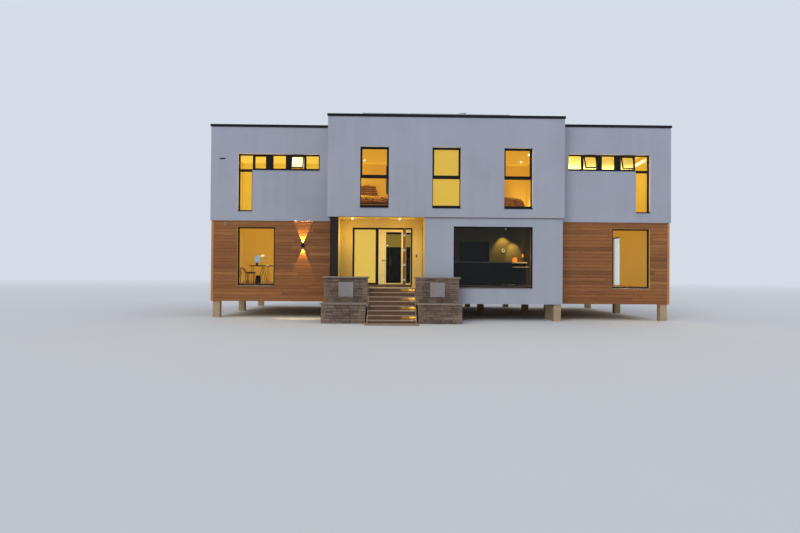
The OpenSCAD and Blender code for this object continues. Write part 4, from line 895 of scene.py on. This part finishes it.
study.blocks(((-3.505, 2.60, 2.335), (-3.245, 2.612, 2.65), 0.004, 2, 0.5, turned),
             ((-3.498, 2.596, 2.375), (-3.252, 2.601, 2.643), 0.001, 3, 0.5, turned),
             ((-3.43, 2.61, 2.216), (-3.33, 2.66, 2.36), 0.004, 1))
study.round((-3.278, 2.40, ON_FLOOR), 0.108, 0.37, 2, 0, 32, 0.5, 0.004).make()
reading = Shape("reading_lamp", [SHADE, STEEL], "lamp_light")
reading.round((-2.92, 2.60, 2.216), 0.065, 0.022, 2, 0, 32, 0.5, 0.008)
reading.tube([(-2.92, 2.60, 2.238), (-2.905, 2.60, 2.36), (-3.05, 2.60, 2.63), (-3.09, 2.60, 2.66)], 0.006, 1)
dome = [(0.088*math.sin(a), 0.088*math.cos(a)) for a in (0.12, 0.4, 0.7, 1.0, 1.3, 1.57)]
reading.loft([[(-3.14 + r*c + 0.35*h, 2.60 + r*s, 2.615 + 0.85*h) for c, s in circle(1.0, 28)] for r, h in dome],
             0, 0.5).make()
chair = Shape("wire_chair", [BRONZE, WALNUT], "steel").at(-3.855, 2.12)
for lift, wide in ((0.0, 1.0), (-0.03, 0.8), (-0.06, 0.6)):
    chair.tube([(u*wide, v, z) for u, v, z in (
        (-0.165, -0.10, 1.915), (-0.15, -0.15, 2.02 + lift), (-0.08, -0.17, 2.10 + lift),
        (0.02, -0.17, 2.10 + lift), (0.10, -0.15, 2.05 + lift), (0.165, -0.10, 1.915))], 0.010)
chair.block((-0.17, -0.17, 1.900), (0.17, 0.18, 1.918), 0.008, 1, 0.4)
for x, y in FOUR:
    chair.tube([(0.10*x, 0.10*y, 1.90), (0.18*x, 0.17*y, ON_FLOOR)], 0.014, 1)
STOOL_X, STOOL_Y = -3.466, 1.90
chair.at(STOOL_X, STOOL_Y).block((-0.165, -0.14, 1.848), (0.165, 0.14, 1.892), 0.012, 1, 0.2)
for x, y in FOUR:
    chair.tube([(0.11*x, 0.10*y, 1.856), (0.145*x, 0.14*y, ON_FLOOR)], 0.014, 1)
chair.make()
cushion("seat_pad", SEAT_CLOTH, (STOOL_X, STOOL_Y, 1.899), (0.35, 0.32, 0.066), slot="dark_metal")


# ---------------------------------------------------------------- porch

# The porch linings' warm ochre render colour is painted lamp light
Shape("porch_linings", [WHITE, DARK_FLAT], "porch_white").blocks(
    ((FIN1 + 0.001, 0.004, SOFFIT - 0.009), (LOUNGE - 0.001, SET_L - 0.002, SOFFIT - 0.001), 0.001),
    ((LOUNGE - 0.010, IN + 0.002, PORCH + 0.002), (LOUNGE - 0.001, SET_L - 0.002, SOFFIT - 0.010), 0.002),
    ((LOUNGE - 0.012, IN - 0.006, 0.70), (LOUNGE + 0.006, IN + 0.010, SOFFIT - 0.002), 0.002),
    # The fin is faced with panels, open joints between them
    *(((FIN0 - 0.004, IN - 0.006, z0), (FIN1 + 0.004, IN + 0.002, z1), 0.003, 1)
      for z0, z1 in ((1.924, 3.037), (3.049, 4.162), (0.70, 1.916))),
    ((FIN1 + 0.001, IN + 0.004, PORCH + 0.002), (FIN1 + 0.008, SET_L - 0.002, SOFFIT - 0.010), 0.001),
    ((FIN0 - 0.007, IN + 0.003, 0.70), (FIN0 - 0.001, SET_L + IN - 0.03, SOFFIT - 0.002), 0.001, 1),
    # A dark strip up the back corner of the porch's right wall: a painted shadow line
    ((LOUNGE - 0.024, SET_L - 0.016, PORCH + 0.002), (LOUNGE - 0.010, SET_L - 0.003, SOFFIT - 0.30), 0.003, 1)
    ).make()

DOWNLIGHTS, LIGHT_Y = (0.98, 2.93), 0.57
lights = Shape("porch_lights", [WHITE_JOINERY, LENS], "lamp_light")
for x in DOWNLIGHTS:
    for r0, r1, z in ((0.041, 0.055, 4.1605), (0.034, 0.041, 4.1622)):
        lights.loft([[(x + r*c, LIGHT_Y + r*s, h) for r, h in ((r0, z), (r1, z + 0.001), (r1, 4.169), (r0, 4.169))]
                     for c, s in circle(1.0, 32)], 0, 0.5, True)
    lights.round((x, LIGHT_Y, 4.136), 0.036, 0.033, 2, 1, 32, 0.5, 0.012)
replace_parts(lights.make(), "porch_downlights")

# The door unit's frame in bars: outer frame and mullion dark, the right light's surround pale
DOOR_Y0, DOOR_Y1, Z0, Z1, UNIT_X0, UNIT_X1 = 1.31, 1.415, 1.43, 3.825, 0.957, 3.477
unit = Shape("door_unit_frame", [DARK, CREAM, BROWN, GASKET], "dark_metal")
for x0, z0, x1, z1, m in (
        (UNIT_X0, Z0, UNIT_X0 + 0.05, Z1, 0), (1.9445, Z0, 2.04, Z1, 0), (UNIT_X1 - 0.05, Z0, UNIT_X1, Z1, 0),
        (1.0075, Z1 - 0.05, 1.944, Z1, 0), (2.0405, Z1 - 0.05, 3.0975, Z1, 0),
        (1.0075, Z0, 1.944, Z0 + 0.05, 0), (3.2085, Z0, 3.4265, Z0 + 0.05, 1),
        (3.2085, Z1 - 0.05, 3.4265, Z1, 0), (3.098, Z0, 3.208, Z1 - 0.0505, 2)):
    unit.block((x0, DOOR_Y0, z0), (x1, DOOR_Y1, z1), 0.004, m, 0.5)
# Stops behind the leaf, with their seal
for x0, z0, x1, m in ((2.04, Z0, 2.065, 0), (3.073, Z0, 3.098, 2), (2.0655, Z1 - 0.075, 3.0725, 0)):
    unit.block((x0, 1.384, z0), (x1, DOOR_Y1, Z1 - 0.05), 0.002, m, 0.5)
unit.frame(2.041, Z0 + 0.001, 3.097, Z1 - 0.051, 0.008, 1.3795, 1.3838, 0.002, 3)
# Glazing beads and gaskets of the side lights
mid = (DOOR_Y0 + DOOR_Y1)/2
for x0, x1, own in ((1.007, 1.9445, 0), (3.208, 3.427, 1)):
    for w, y0, y1, bevel, m in ((0.016, -0.034, -0.0145, 0.006, own), (0.019, -0.0205, -0.014, 0.002, 3),
                                (0.016, 0.0145, 0.034, 0.006, own)):
        unit.frame(x0, Z0 + 0.05, x1, Z1 - 0.05, w, mid + y0, mid + y1, bevel, m)
# A cream panel stands over the right light, and seals close the gap to the wall
unit.block((3.209, 1.322, Z1 - 0.18), (3.426, 1.345, Z1 - 0.052), 0.003, 1, 0.5)
for x0, z0, x1 in ((0.950, Z0 + 0.002, 0.962), (3.472, Z0 + 0.002, 3.484), (0.9625, Z1 - 0.006, 3.4715)):
    unit.block((x0, 1.245, z0), (x1, 1.2495, Z1 + 0.006), 0.001, 3)
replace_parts(unit.make(), "door_frame")

# The leaf: stiles and rails round its glass, with the knuckles of its hinges
leaf = Shape("door_leaf", [CREAM, GASKET, STEEL], "door_paint", "entrance_leaf")
LX0, LX1, LZ0, LZ1, LY0, LY1 = 2.05, 3.088, 1.44, 3.765, 1.31, 1.378
GX0, GX1, GZ0, GZ1 = 2.365, 3.020, 1.49, 3.66
HX, HY, LEVER_X, LEVER_Z = 3.093, 1.298, 2.226, 2.45
KNUCKLES = [LZ0 + 0.22 + k*(LZ1 - LZ0 - 0.44)/3 for k in range(4)]
for x0, z0, x1, z1 in ((LX0, LZ0, GX0, LZ1), (GX1, LZ0, LX1, LZ1),
                       (GX0 + 0.0004, GZ1, GX1 - 0.0004, LZ1), (GX0 + 0.0004, LZ0, GX1 - 0.0004, GZ0)):
    leaf.block((x0, LY0, z0), (x1, LY1, z1), 0.003, 0, 0.5)
for g, w, y0, y1, bevel, m in ((-0.016, 0.020, LY0 - 0.004, LY0 + 0.018, 0.004, 0),
                               (-0.016, 0.020, LY1 - 0.018, LY1 + 0.004, 0.004, 0),
                               (0.0005, 0.019, 1.325, 1.330, 0.001, 1)):
    leaf.frame(GX0 + g, GZ0 + g, GX1 - g, GZ1 - g, w, y0, y1, bevel, m)
for k in (1, 2, 3):
    # Shallow grooves down the wide lock stile
    x = LX0 + 0.085*k
    leaf.block((x, LY0 - 0.0015, LZ0 + 0.02), (x + 0.003, LY0 + 0.001, LZ1 - 0.02), 0.0004, 1, 0.5)
for z in KNUCKLES:
    leaf.round((HX, HY, z + 0.002), 0.011, 0.055, 2, 2, 32, 0.5, 0.0012)
    leaf.block((HX - 0.038, LY0 - 0.004, z + 0.002), (HX - 0.002, LY0 - 0.0002, z + 0.057), 0.001, 2)
    for a in (0.014, 0.042):
        leaf.round((HX - 0.024, LY0 - 0.0055, z + a), 0.0045, 0.002, 1, 2, 16)
leaf.block((LX0 + 0.012, LY0 + 0.02, LZ0 - 0.006), (LX1 - 0.012, LY0 + 0.03, LZ0 + 0.001), 0.001, 1, 0.5)
leaf.round((LEVER_X, LY0 - 0.006, 2.33), 0.020, 0.006, 1, 2, 32, 0.5, 0.001)
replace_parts(leaf.make(), "front_door")

jamb_plates = Shape("door_jamb_hinges", [CHROME], "steel")
for z in KNUCKLES:
    jamb_plates.round((HX, HY, z - 0.057), 0.011, 0.055, 2, 0, 32, 0.5, 0.0012)
    jamb_plates.block((HX + 0.009, DOOR_Y0 - 0.004, z - 0.057), (HX + 0.098, DOOR_Y0 - 0.0002, z - 0.002), 0.001)
    jamb_plates.round((HX + 0.060, DOOR_Y0 - 0.024, z - 0.012), 0.036, 0.020, 1, 0, 32, 0.5, 0.014)
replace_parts(jamb_plates.make(), "door_hinges")

handle = Shape("door_levers", [BRONZE], "steel", "entrance_leaf")
for rose, shank, lever in ((LY0 - 0.008, LY0 - 0.052, LY0 - 0.042), (LY1, LY1, LY1 + 0.042)):
    handle.rounds(((LEVER_X, rose, LEVER_Z), 0.026, 0.008, 1, 0, 40, 0.5, 0.0015),
                  ((LEVER_X, shank, LEVER_Z), 0.010, 0.052, 1, 0, 24, 0.5, 0.002),
                  ((LEVER_X, lever, LEVER_Z), 0.010, 0.130, 0, 0, 24, 0.5, 0.004))
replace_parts(handle.make(), "door_handles")

sill = Shape("door_threshold", [TILE, ALU], "brown_tile")
tile = (UNIT_X1 - UNIT_X0)/6
for k in range(6):
    x = UNIT_X0 + k*tile
    sill.block((x + 0.001, SET_L, PORCH), (x + tile - 0.001, SET_L + 0.2, 1.428), 0.004)
sill.block((0.962, DOOR_Y0 - 0.02, 1.427), (3.472, DOOR_Y0 + 0.08, 1.4298), 0.001, 1)
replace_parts(sill.make(), "door_sill")


# ---------------------------------------------------------------- stair

STAIR_X, TREAD_HALF, TREAD_T, RISE, GOING = 2.615, 0.89, 0.042, 0.165, 0.25
STEP_LIGHTS = (1, 3, 5, 7)
FRONTS = [-0.08 - (7 - k)*GOING for k in range(8)]


def tread(front, rear, top, half_width, t=TREAD_T, r=0.008):
    """Both halves of a tread with a rounded nosing."""
    turns = [math.pi/8*k for k in range(5)]
    profile = [(rear, top - t), (rear, top)]
    profile += [(front + r - r*math.sin(a), top - r + r*math.cos(a)) for a in turns]
    profile += [(front + r - r*math.cos(a), top - t + r - r*math.sin(a)) for a in turns]
    treads.run(profile, STAIR_X - half_width, STAIR_X - 0.001)
    treads.run(profile, STAIR_X + 0.001, STAIR_X + half_width)


treads = Shape("stone_treads", [TREAD], "pale_stone")
for k, front in enumerate(FRONTS):
    tread(front, FRONTS[k + 1] + 0.03 if k < 7 else -0.001, RISE*(k + 1), TREAD_HALF - 0.001)
tread(-2.31, -1.831, 0.05, 0.999, 0.05)
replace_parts(treads.make(), "stair_treads")

risers = Shape("tiled_risers", [TILE, MORTAR, DARK], "brown_tile")
half = TREAD_HALF - 0.001
for k, front in enumerate(FRONTS):
    y, z0, z1 = front + 0.03, RISE*k + 0.001 if k else 0.0, RISE*(k + 1) - TREAD_T
    risers.block((STAIR_X - half, y + 0.006, max(0.0, RISE*k - TREAD_T)), (STAIR_X + half, -0.002, z1), 0.0, 1)
    for c in range(4):
        x = STAIR_X - half + c*half/2
        risers.block((x + 0.001, y, z0), (x + half/2 - 0.001, y + 0.012, z1 - 0.0005), 0.002)
    if k in STEP_LIGHTS:
        x = STAIR_X + TREAD_HALF - 0.10
        risers.block((x - 0.42, y - 0.016, z1 - 0.008), (x + 0.08, y - 0.002, z1 - 0.001), 0.001, 2)
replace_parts(risers.make(), "stair_flight")

strings = Shape("stone_strings", [TREAD], "pale_stone")
for x in (STAIR_X - TREAD_HALF - 0.05, STAIR_X + TREAD_HALF):
    for k, front in enumerate(FRONTS):
        rear = FRONTS[k + 1] - 0.001 if k < 7 else -0.001
        strings.block((x + 0.0005, front, 0.0), (x + 0.0495, rear, RISE*(k + 1)), 0.004)
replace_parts(strings.make(), "stair_strings")


# ---------------------------------------------------------------- flank piers

def coursed(x0, x1, y0, y1, z0, z1):
    """Split stones of varied length and height over the front and side faces of a masonry block."""
    masonry.block((x0 + 0.03, y0 + 0.03, z0), (x1 - 0.03, y1, z1), 0.0, 1, 0.5)
    z = z0
    while z < z1 - 0.02:
        h = rng.choice((0.055, 0.07, 0.085, 0.11))
        if z1 - z - h < 0.05:
            h = z1 - z
        low, high = z + 0.004, z + h - 0.003
        # The front course, then the courses of both ends
        x = x0
        while x < x1 - 0.001:
            w = rng.uniform(0.12, 0.42)
            if x1 - x - w < 0.1:
                w = x1 - x
            first, last = x == x0, x + w >= x1 - 0.001
            proud = rng.uniform(0.0, 0.014)
            tone = rng.uniform(0.55, 0.95) if first or last else rng.uniform(0.1, 0.75)
            masonry.block((x0 + 0.001 if first else x + 0.004, y0 + proud*0.8, low),
                          (x1 - 0.001 if last else x + w - 0.004, y0 + 0.08, high), 0.009, 0, tone)
            x += w
        for side in (-1, 1):
            y = y0 + 0.084
            while y < y1 - 0.001:
                w = rng.uniform(0.12, 0.38)
                if y1 - y - w < 0.1:
                    w = y1 - y
                proud = rng.uniform(0.0, 0.012)
                a, b = (x1 - 0.06, x1 - proud) if side > 0 else (x0 + proud, x0 + 0.06)
                masonry.block((a, y + 0.004, low), (b, min(y + w - 0.004, y1), high), 0.009, 0,
                              rng.uniform(0.1, 0.8))
                y += w
        z += h


def beside(side, near, far):
    """The left and right end of what reaches from near to far on one side of the stair."""
    return sorted((STAIR_X + side*near, STAIR_X + side*far))


masonry = Shape("coursed_stone", [SPLIT, MORTAR], "rough_stone")
for side in (-1, 1):
    coursed(*beside(side, 0.99, 2.665), -1.48, -0.001, 0.0, 0.712)
    coursed(*beside(side, 0.941, 2.65), -0.60, -0.001, 0.76, 1.71)
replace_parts(masonry.make(), "flank_piers")

ledges = Shape("stone_copings", [COPING], "pale_stone")
for side in (-1, 1):
    for near, far, y, z0, z1 in ((0.941, 2.715, -1.53, 0.712, 0.76), (0.891, 2.70, -0.65, 1.71, 1.77)):
        mid = (near + far)/2
        for ends in ((near, mid - 0.002), (mid + 0.002, far)):
            ledges.run([(-0.001, z0), (-0.001, z1), (y + 0.008, z1), (y, z1 - 0.008), (y, z0 + 0.006),
                        (y + 0.006, z0), (y + 0.020, z0), (y + 0.022, z0 + 0.006), (y + 0.030, z0 + 0.006),
                        (y + 0.032, z0)], *beside(side, *ends))
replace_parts(ledges.make(), "flank_pier_copings")

plates = Shape("slate_plates", [SLATE, STEEL], "plate_stone")
for x in (STAIR_X - 1.795, STAIR_X + 1.795):
    plates.block((x - 0.2875, -0.62, 0.9775), (x + 0.2875, -0.601, 1.5525), 0.004)
    for a, b in product((-0.25, 0.25), repeat=2):
        plates.round((x + a, -0.6225, 1.265 + b), 0.010, 0.003, 1, 1, 20, 0.5, 0.001)
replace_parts(plates.make(), "flank_pier_plates")


# ---------------------------------------------------------------- fittings

LAMP_X, LAMP_Z, LW, LD, LH, SHEET = -1.151, 3.0505, 0.0575, 0.105, 0.0875, 0.005
STUDY_FRONT = SET_L + IN
lamp = Shape("wall_lamp_body", [DARK, LENS], "dark_metal").at(LAMP_X, STUDY_FRONT)
# Two sides, the front, the back in two layers, and the body between the two lenses
for x0, x1, y0, y1, high, bevel in (
        (-LW, -LW + SHEET, -LD, -0.015, LH, 0.0012), (LW - SHEET, LW, -LD, -0.015, LH, 0.0012),
        (-LW + SHEET, LW - SHEET, -LD, -LD + SHEET, LH, 0.0012),
        (-LW + SHEET, LW - SHEET, -0.020, -0.015, LH, 0.0012), (-LW, LW, -0.015, -0.015, LH, 0.002),
        (-LW + 0.006, LW - 0.006, -LD + 0.006, -0.021, LH/3, 0.002)):
    lamp.block((x0, y0, LAMP_Z - high), (x1, y1, LAMP_Z + high), bevel)
for z in (LAMP_Z + LH/3, LAMP_Z - LH/3 - 0.006):
    lamp.round((0.0, -0.062, z), 0.034, 0.006, 2, 1, 32)
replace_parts(lamp.make(), "wall_lamp")

extras = Shape("wall_fittings", [DARK, GASKET, WHITE_JOINERY, BROWN], "dark_metal")
# A slot vent in the left wing's render, a metal bead that ends the upper render where it stands
# out, a detector on the timber, a doorbell and a sensor in the porch
extras.block((-4.68, SET_L - 0.010, 6.675), (-4.45, SET_L + 0.002, 6.728), 0.003)
for k in range(4):
    extras.block((-4.672 + 0.055*k, SET_L - 0.013, 6.682), (-4.626 + 0.055*k, SET_L - 0.008, 6.721), 0.001, 1)
# A drip bead, whose brown stands in for warm lamp light on the underside of the overhang: painted light
extras.block((FIN1, -0.004, SOFFIT - 0.001), (PAST, 0.004, SOFFIT + 0.016), 0.001, 3)
extras.rounds(((-4.449, STUDY_FRONT - BOARD_T - 0.012, 3.95), 0.045, 0.012, 1, 2, 32, 0.5, 0.003),
              ((-4.449, STUDY_FRONT - BOARD_T - 0.028, 3.95), 0.032, 0.018, 1, 1, 32, 0.5, 0.010))
extras.block((3.632, SET_L - 0.012, 2.58), (3.684, SET_L + 0.001, 2.72), 0.004, 3)
extras.rounds(*(((3.658, SET_L - 0.020, z), 0.024, 0.009, 1, 0, 28, 0.5, 0.002) for z in (2.612, 2.688)),
              ((1.94, 0.57, SOFFIT - 0.030), 0.036, 0.022, 2, 2, 32, 0.5, 0.006)).make()


# ---------------------------------------------------------------- roof

# Depths and thickness of the modules, the levels of their edges, and the width of a rack's bar
PY, PANEL_END, PT, LOW_TOP, HIGH_TOP, BAR_W = 1.40, 2.70, 0.05, ROOF + 0.11, ROOF + 0.96, 0.04
panels = Shape("roof_modules", [CELLS, ALU], "roof_panel")
racks = Shape("roof_racks", [ALU], "steel")


def module(axis, p0, p1, a, b, za, zb):
    """A framed module from p0 to p1 along axis, whose top goes from za at a to zb at b, on its rack."""
    e, w, mid = 0.014, BAR_W, (a + b)/2
    for lo, hi, near, far, top, under, m in (
            (p0 + e, p1 - e, a + e, b - e, 0.004, 0.030, 0), (p0, p0 + e, a, b, 0.0, PT, 1),
            (p1 - e, p1, a, b, 0.0, PT, 1), (p0 + e, p1 - e, a, a + e, 0.0, PT, 1),
            (p0 + e, p1 - e, b - e, b, 0.0, PT, 1), (p0 + e, p1 - e, mid - 0.02, mid + 0.02, 0.031, PT, 1)):
        z0, z1 = (za + (zb - za)*(q - a)/(b - a) for q in (near, far))
        panels.run([(near, z0 - under), (far, z1 - under), (far, z1 - top), (near, z0 - top)],
                   lo, hi, axis, m, 0.5)
    za, zb, lo, hi = za - PT, zb - PT, ROOF, ROOF + w
    for p in (p0, p1 - w):
        # An open side: foot, one or two posts and the rail below the module
        racks.run([(a, lo), (b, lo), (b, hi), (a, hi)], p, p + w, axis)
        racks.run([(a, hi), (a + w, hi), (a + w, za - w), (a, za - w)], p, p + w, axis)
        if zb - ROOF > 3*w:
            racks.run([(b - w, hi), (b, hi), (b, zb - w), (b - w, zb - w)], p, p + w, axis)
        racks.run([(a, za - w), (b, zb - w), (b, zb), (a, za)], p, p + w, axis)


for lo, hi, count, drop in ((1.32, 5.345, 4, 0.0), (5.762, 7.665, 2, 0.005)):
    pitch = (hi - lo)/count
    for k in range(count):
        module(0, lo + k*pitch, lo + (k + 1)*pitch - 0.025, PY, PANEL_END, HIGH_TOP - drop, LOW_TOP)
module(1, PY, PANEL_END, 5.333, 5.747, HIGH_TOP, HIGH_TOP + 0.063)
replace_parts(panels.make(), "roof_panels")
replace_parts(racks.make(), "roof_panel_frames")

# Lapped sheets with upstands, and four drains with grated caps
roofing = Shape("roof_sheets", [FELT, ALU], "roof_membrane")
for a, b, c, d in ((-4.62, 1.68, -0.03, 9.82), (9.63, 1.04, 13.81, 9.82), (0.43, 0.43, 9.17, 10.42)):
    n = round((c - a)/1.05)
    w = (c - a)/n
    for k in range(n):
        end = a + (k + 1)*w + 0.04 if k < n - 1 else c
        roofing.block((a + k*w, b, ROOF), (end, d, ROOF + 0.004 + 0.003*(k % 2)), 0.0015, 0, 0.5)
    for x0, y0, x1, y1 in ((a, b, a + 0.012, d), (c - 0.012, b, c, d), (a, b, c, b + 0.012), (a, d - 0.012, c, d)):
        roofing.block((x0, y0, ROOF), (x1, y1, ROOF + 0.17))
for x, y in ((-3.9, 3.0), (12.9, 3.0), (8.3, 8.6), (1.2, 8.6)):
    roofing.at(x, y).round((0, 0, ROOF), 0.10, 0.03, 2, 1, 32, 0.5, 0.006)
    for u, v in circle(0.07, 8):
        roofing.block((u - 0.006, v - 0.006, ROOF + 0.03), (u + 0.006, v + 0.006, ROOF + 0.09), 0.002, 1)
    roofing.round((0, 0, ROOF + 0.09), 0.095, 0.012, 2, 1, 32, 0.5, 0.004)
roofing.make()


# ---------------------------------------------------------------- stage, camera and light

FLOOR_COLOUR, BACKGROUND, SKY = (0.62, 0.63, 0.65), (0.66, 0.72, 0.80, 1.0), (0.86, 0.93, 1.0, 1.0)
RINGS, SIDES = (20.0, 60.0, 160.0, 400.0), 96
verts = [(0.0, 0.0, 0.0)] + [(*p, 0.0) for r in RINGS for p in circle(r, SIDES)]
faces = []
for k in range(SIDES):
    j = (k + 1) % SIDES
    faces.append([0, 1 + k, 1 + j])
    faces += [[a + k, a + SIDES + k, a + SIDES + j, a + j] for a in range(1, (len(RINGS) - 1)*SIDES, SIDES)]
mesh = bpy.data.meshes.new("studio_floor")
mesh.from_pydata(verts, [], faces)
stage = bpy.data.objects.new("studio_floor", mesh)
scene = bpy.context.scene
scene.collection.objects.link(stage)
p = Paint("studio_floor_paint", 0.9)
p.colour(p.ramp(p.noise(0.15, 3), (0.3, FLOOR_COLOUR), (0.7, [c*1.02 for c in FLOOR_COLOUR])))
# The floor fades into the background far from the house
away = p.node("ShaderNodeVectorMath", {0: p.coords}, operation="LENGTH").outputs["Value"]
fade = p.node("ShaderNodeMapRange", {"From Min": 22.0, "From Max": 150.0, "Value": away},
              interpolation_type="SMOOTHSTEP")
faded = p.node("ShaderNodeMixShader", {0: fade.outputs["Result"], 1: p.bsdf.outputs[0],
                                       2: p.node("ShaderNodeBsdfTransparent").outputs[0]})
p.tree.links.new(faded.outputs[0], p.tree.nodes["Material Output"].inputs["Surface"])
mesh.materials.append(p.mat)
stage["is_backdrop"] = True

scene.view_settings.view_transform = "Standard"
scene.world = bpy.data.worlds.new("studio")
scene.world.use_nodes = True
tree = scene.world.node_tree
sky = tree.nodes["Background"]
sky.inputs["Color"].default_value, sky.inputs["Strength"].default_value = SKY, 0.62
# Seen, mirrored and through glass the background is even, and elsewhere the sky lights the house
seen = wired(tree, "ShaderNodeBackground", {"Color": BACKGROUND, "Strength": 1.0}).outputs[0]
ray = wired(tree, "ShaderNodeLightPath").outputs
looked = ray["Is Camera Ray"]
for other in ("Is Glossy Ray", "Is Transmission Ray"):
    looked = wired(tree, "ShaderNodeMath", {0: looked, 1: ray[other]}, operation="ADD", use_clamp=True).outputs[0]
mixed = wired(tree, "ShaderNodeMixShader", {0: looked, 1: sky.outputs[0], 2: seen}).outputs[0]
tree.links.new(mixed, tree.nodes["World Output"].inputs["Surface"])


def lamp_at(name, kind, energy, colour, place, aim=None, size=1.0, high=None, cone=None, blend=0.6):
    """A lamp at a place that looks at aim. A sun has its angle as size, an area may have a height."""
    data = bpy.data.lights.new(name, kind)
    data.energy, data.color = energy, colour
    if kind == "AREA":
        data.size = size
        if high:
            data.shape, data.size_y = "RECTANGLE", high
    elif kind == "SUN":
        data.angle = math.radians(size)
    else:
        data.shadow_soft_size = size
        if kind == "SPOT":
            data.spot_size, data.spot_blend = math.radians(cone), blend
    obj = bpy.data.objects.new(name, data)
    obj.location = (place[0] - MX, place[1] - MY, place[2])
    if aim:
        target = Vector((aim[0] - MX, aim[1] - MY, aim[2]))
        obj.rotation_euler = (target - obj.location).to_track_quat("-Z", "Y").to_euler()
    scene.collection.objects.link(obj)
    obj.visible_camera = obj.visible_glossy = obj.visible_transmission = False


for name, energy, colour, place, angle in (
        ("key", 1.15, (1.0, 0.97, 0.93), (-20, -40, 30), 35), ("fill", 0.35, (0.88, 0.94, 1.0), (50, -20, 30), 60),
        ("back", 0.45, (0.95, 0.97, 1.0), (20, 60, 45), 60)):
    lamp_at(name, "SUN", energy, colour, place, (4.6, 4, 3), angle)
# Lamps in the rooms: place, power, size and colour
GOLD, LEMON, HONEY = (1.0, 0.68, 0.10), (1.0, 0.98, 0.34), (1.0, 0.82, 0.16)
for k, (x, y, z, power, size, colour) in enumerate([
        (1.5, 2.6, 7.1, 14, 1.6, GOLD), (4.8, 2.6, 7.1, 14, 1.6, GOLD), (8.0, 2.6, 7.1, 11, 1.6, GOLD),
        (-2.4, 3.2, 7.1, 32, 1.6, LEMON), (11.7, 2.9, 7.1, 32, 1.6, LEMON), (-3.0, 3.3, 4.05, 6, 1.6, HONEY),
        (2.3, 3.2, 4.05, 12, 0.8, HONEY), (11.6, 3.0, 4.05, 9, 1.6, HONEY)] + [
        (x, 7.7, z, 16, 1.6, HONEY) for z in (4.05, 7.1) for x in (-2.5, 2.3, 7.1, 11.8)]):
    lamp_at("room_%d" % k, "AREA", power, colour, (x, y, z), (x, y, 0), size)
# Light that the windows throw on their own reveals: X, Z, width, height, depth and power
for k, (x, z, wide, high, y, power) in enumerate(
        [(MIDDLE + k*SPACING, z, w, h, UP_Y, 14) for z, w, h in ((6.40, 1.0, 1.05), (5.22, 1.1, 1.1))
         for k in (-1, 0, 1)] + [
        (-2.19, 6.58, 3.3, 0.58, SET_L + UP_Y, 32), (-3.61, 5.36, 0.5, 1.65, SET_L + UP_Y, 12),
        (11.65, 6.58, 3.3, 0.58, SET_R + UP_Y, 32), (13.07, 5.36, 0.5, 1.65, SET_R + UP_Y, 12),
        (STUDY_L, 2.62, 1.45, 2.3, SET_L + IN + 0.05, 16), (STUDY_R, 2.62, 1.45, 2.3, SET_R + IN + 0.05, 16)]):
    lamp_at("glow_%d" % k, "AREA", power, (1.0, 0.66, 0.26), (x, y, z), (x, y - 1, z), wide, high)
# Spots inside: place, aim, power and cone
for k, (place, aim, power, cone) in enumerate((
        ((8.05, 4.6, 4.06), (8.10, 5.04, 2.6), 190, 72), ((8.50, 4.55, 3.75), (8.60, 5.04, 2.95), 130, 52),
        ((9.05, 4.97, 2.93), (9.02, 5.01, 3.6), 26, 34), ((7.7, 0.9, 3.3), (8.36, 0.30, 2.6), 75, 90),
        ((8.35, 1.62, 3.1), (8.3, 1.9, 2.4), 70, 50), ((-2.2, 4.2, 2.3), (-2.8, 5.05, 2.5), 9, 130),
        ((0.75, 3.9, 5.7), (1.2, 5.05, 6.0), 22, 120), ((8.8, 3.9, 4.9), (9.2, 4.5, 5.6), 42, 90))):
    lamp_at("spot_%d" % k, "SPOT", power, (1.0, 0.72, 0.30), place, aim, 0.05, cone=cone)
for k, x in enumerate(DOWNLIGHTS):
    lamp_at("porch_%d" % k, "POINT", 21, (1.0, 0.76, 0.20), (x, 0.40, 3.40), size=0.05)
for k, (rise, power) in enumerate(((1.0, 420), (-1.0, 230))):
    lamp_at("wall_lamp_%d" % k, "SPOT", power, (1.0, 0.66, 0.20),
            (LAMP_X, STUDY_FRONT - 0.062, LAMP_Z + 0.06*rise), (LAMP_X, STUDY_FRONT - 0.03, LAMP_Z + rise),
            0.006, cone=48, blend=0.2)
for k, (power, x, z, wide) in enumerate(((11, 10.2, 6.40, 1.15), (9, 11.9, 6.36, 2.0))):
    lamp_at("shelf_%d" % k, "AREA", power, (1.0, 0.98, 0.80), (x, 1.21, z), (x, 1.30, z + 0.12), wide, 0.04)
for k, (x, y) in enumerate(((STUDY_L, SET_L + IN), (STUDY_R, SET_R + IN))):
    lamp_at("sill_%d" % k, "AREA", 4, (1.0, 0.72, 0.22), (x, y - 0.03, 1.72), (x, y - 0.04, 1.40), 1.1, 0.08)
for k, (q, (x, wide, power)) in product(STEP_LIGHTS, enumerate(((0.80, 0.22, 1.7), (0.62, 0.50, 1.0)))):
    x, y, z = STAIR_X + x, FRONTS[k] + 0.012, RISE*(k + 1) - 0.045
    lamp_at("step_%d_%d" % (k, q), "AREA", power, (1.0, 0.97, 0.10), (x, y, z), (x, y + 0.04, z - 0.08),
            wide, 0.014)

# The camera of the photo: its place, and its turns as they were fitted
camera_data = bpy.data.cameras.new("camera")
camera_data.lens, camera_data.sensor_width, camera_data.clip_end = 26.1, 36.0, 1000.0
camera = bpy.data.objects.new("camera", camera_data)
yaw, pitch, roll = (math.radians(a) for a in (1.085, 0.741, 0.43))
ahead = Vector((math.sin(yaw)*math.cos(pitch), math.cos(yaw)*math.cos(pitch), math.sin(pitch)))
level = Vector((math.cos(yaw), -math.sin(yaw), 0.0))
upward = level.cross(ahead)
right, above = level*math.cos(roll) + upward*math.sin(roll), upward*math.cos(roll) - level*math.sin(roll)
camera.matrix_world = Matrix([(*axes, at) for *axes, at in zip(right, above, -ahead, (-2.095, -27.615, 1.88))]
                             + [(0, 0, 0, 1)])
scene.collection.objects.link(camera)
scene.camera = camera

low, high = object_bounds()
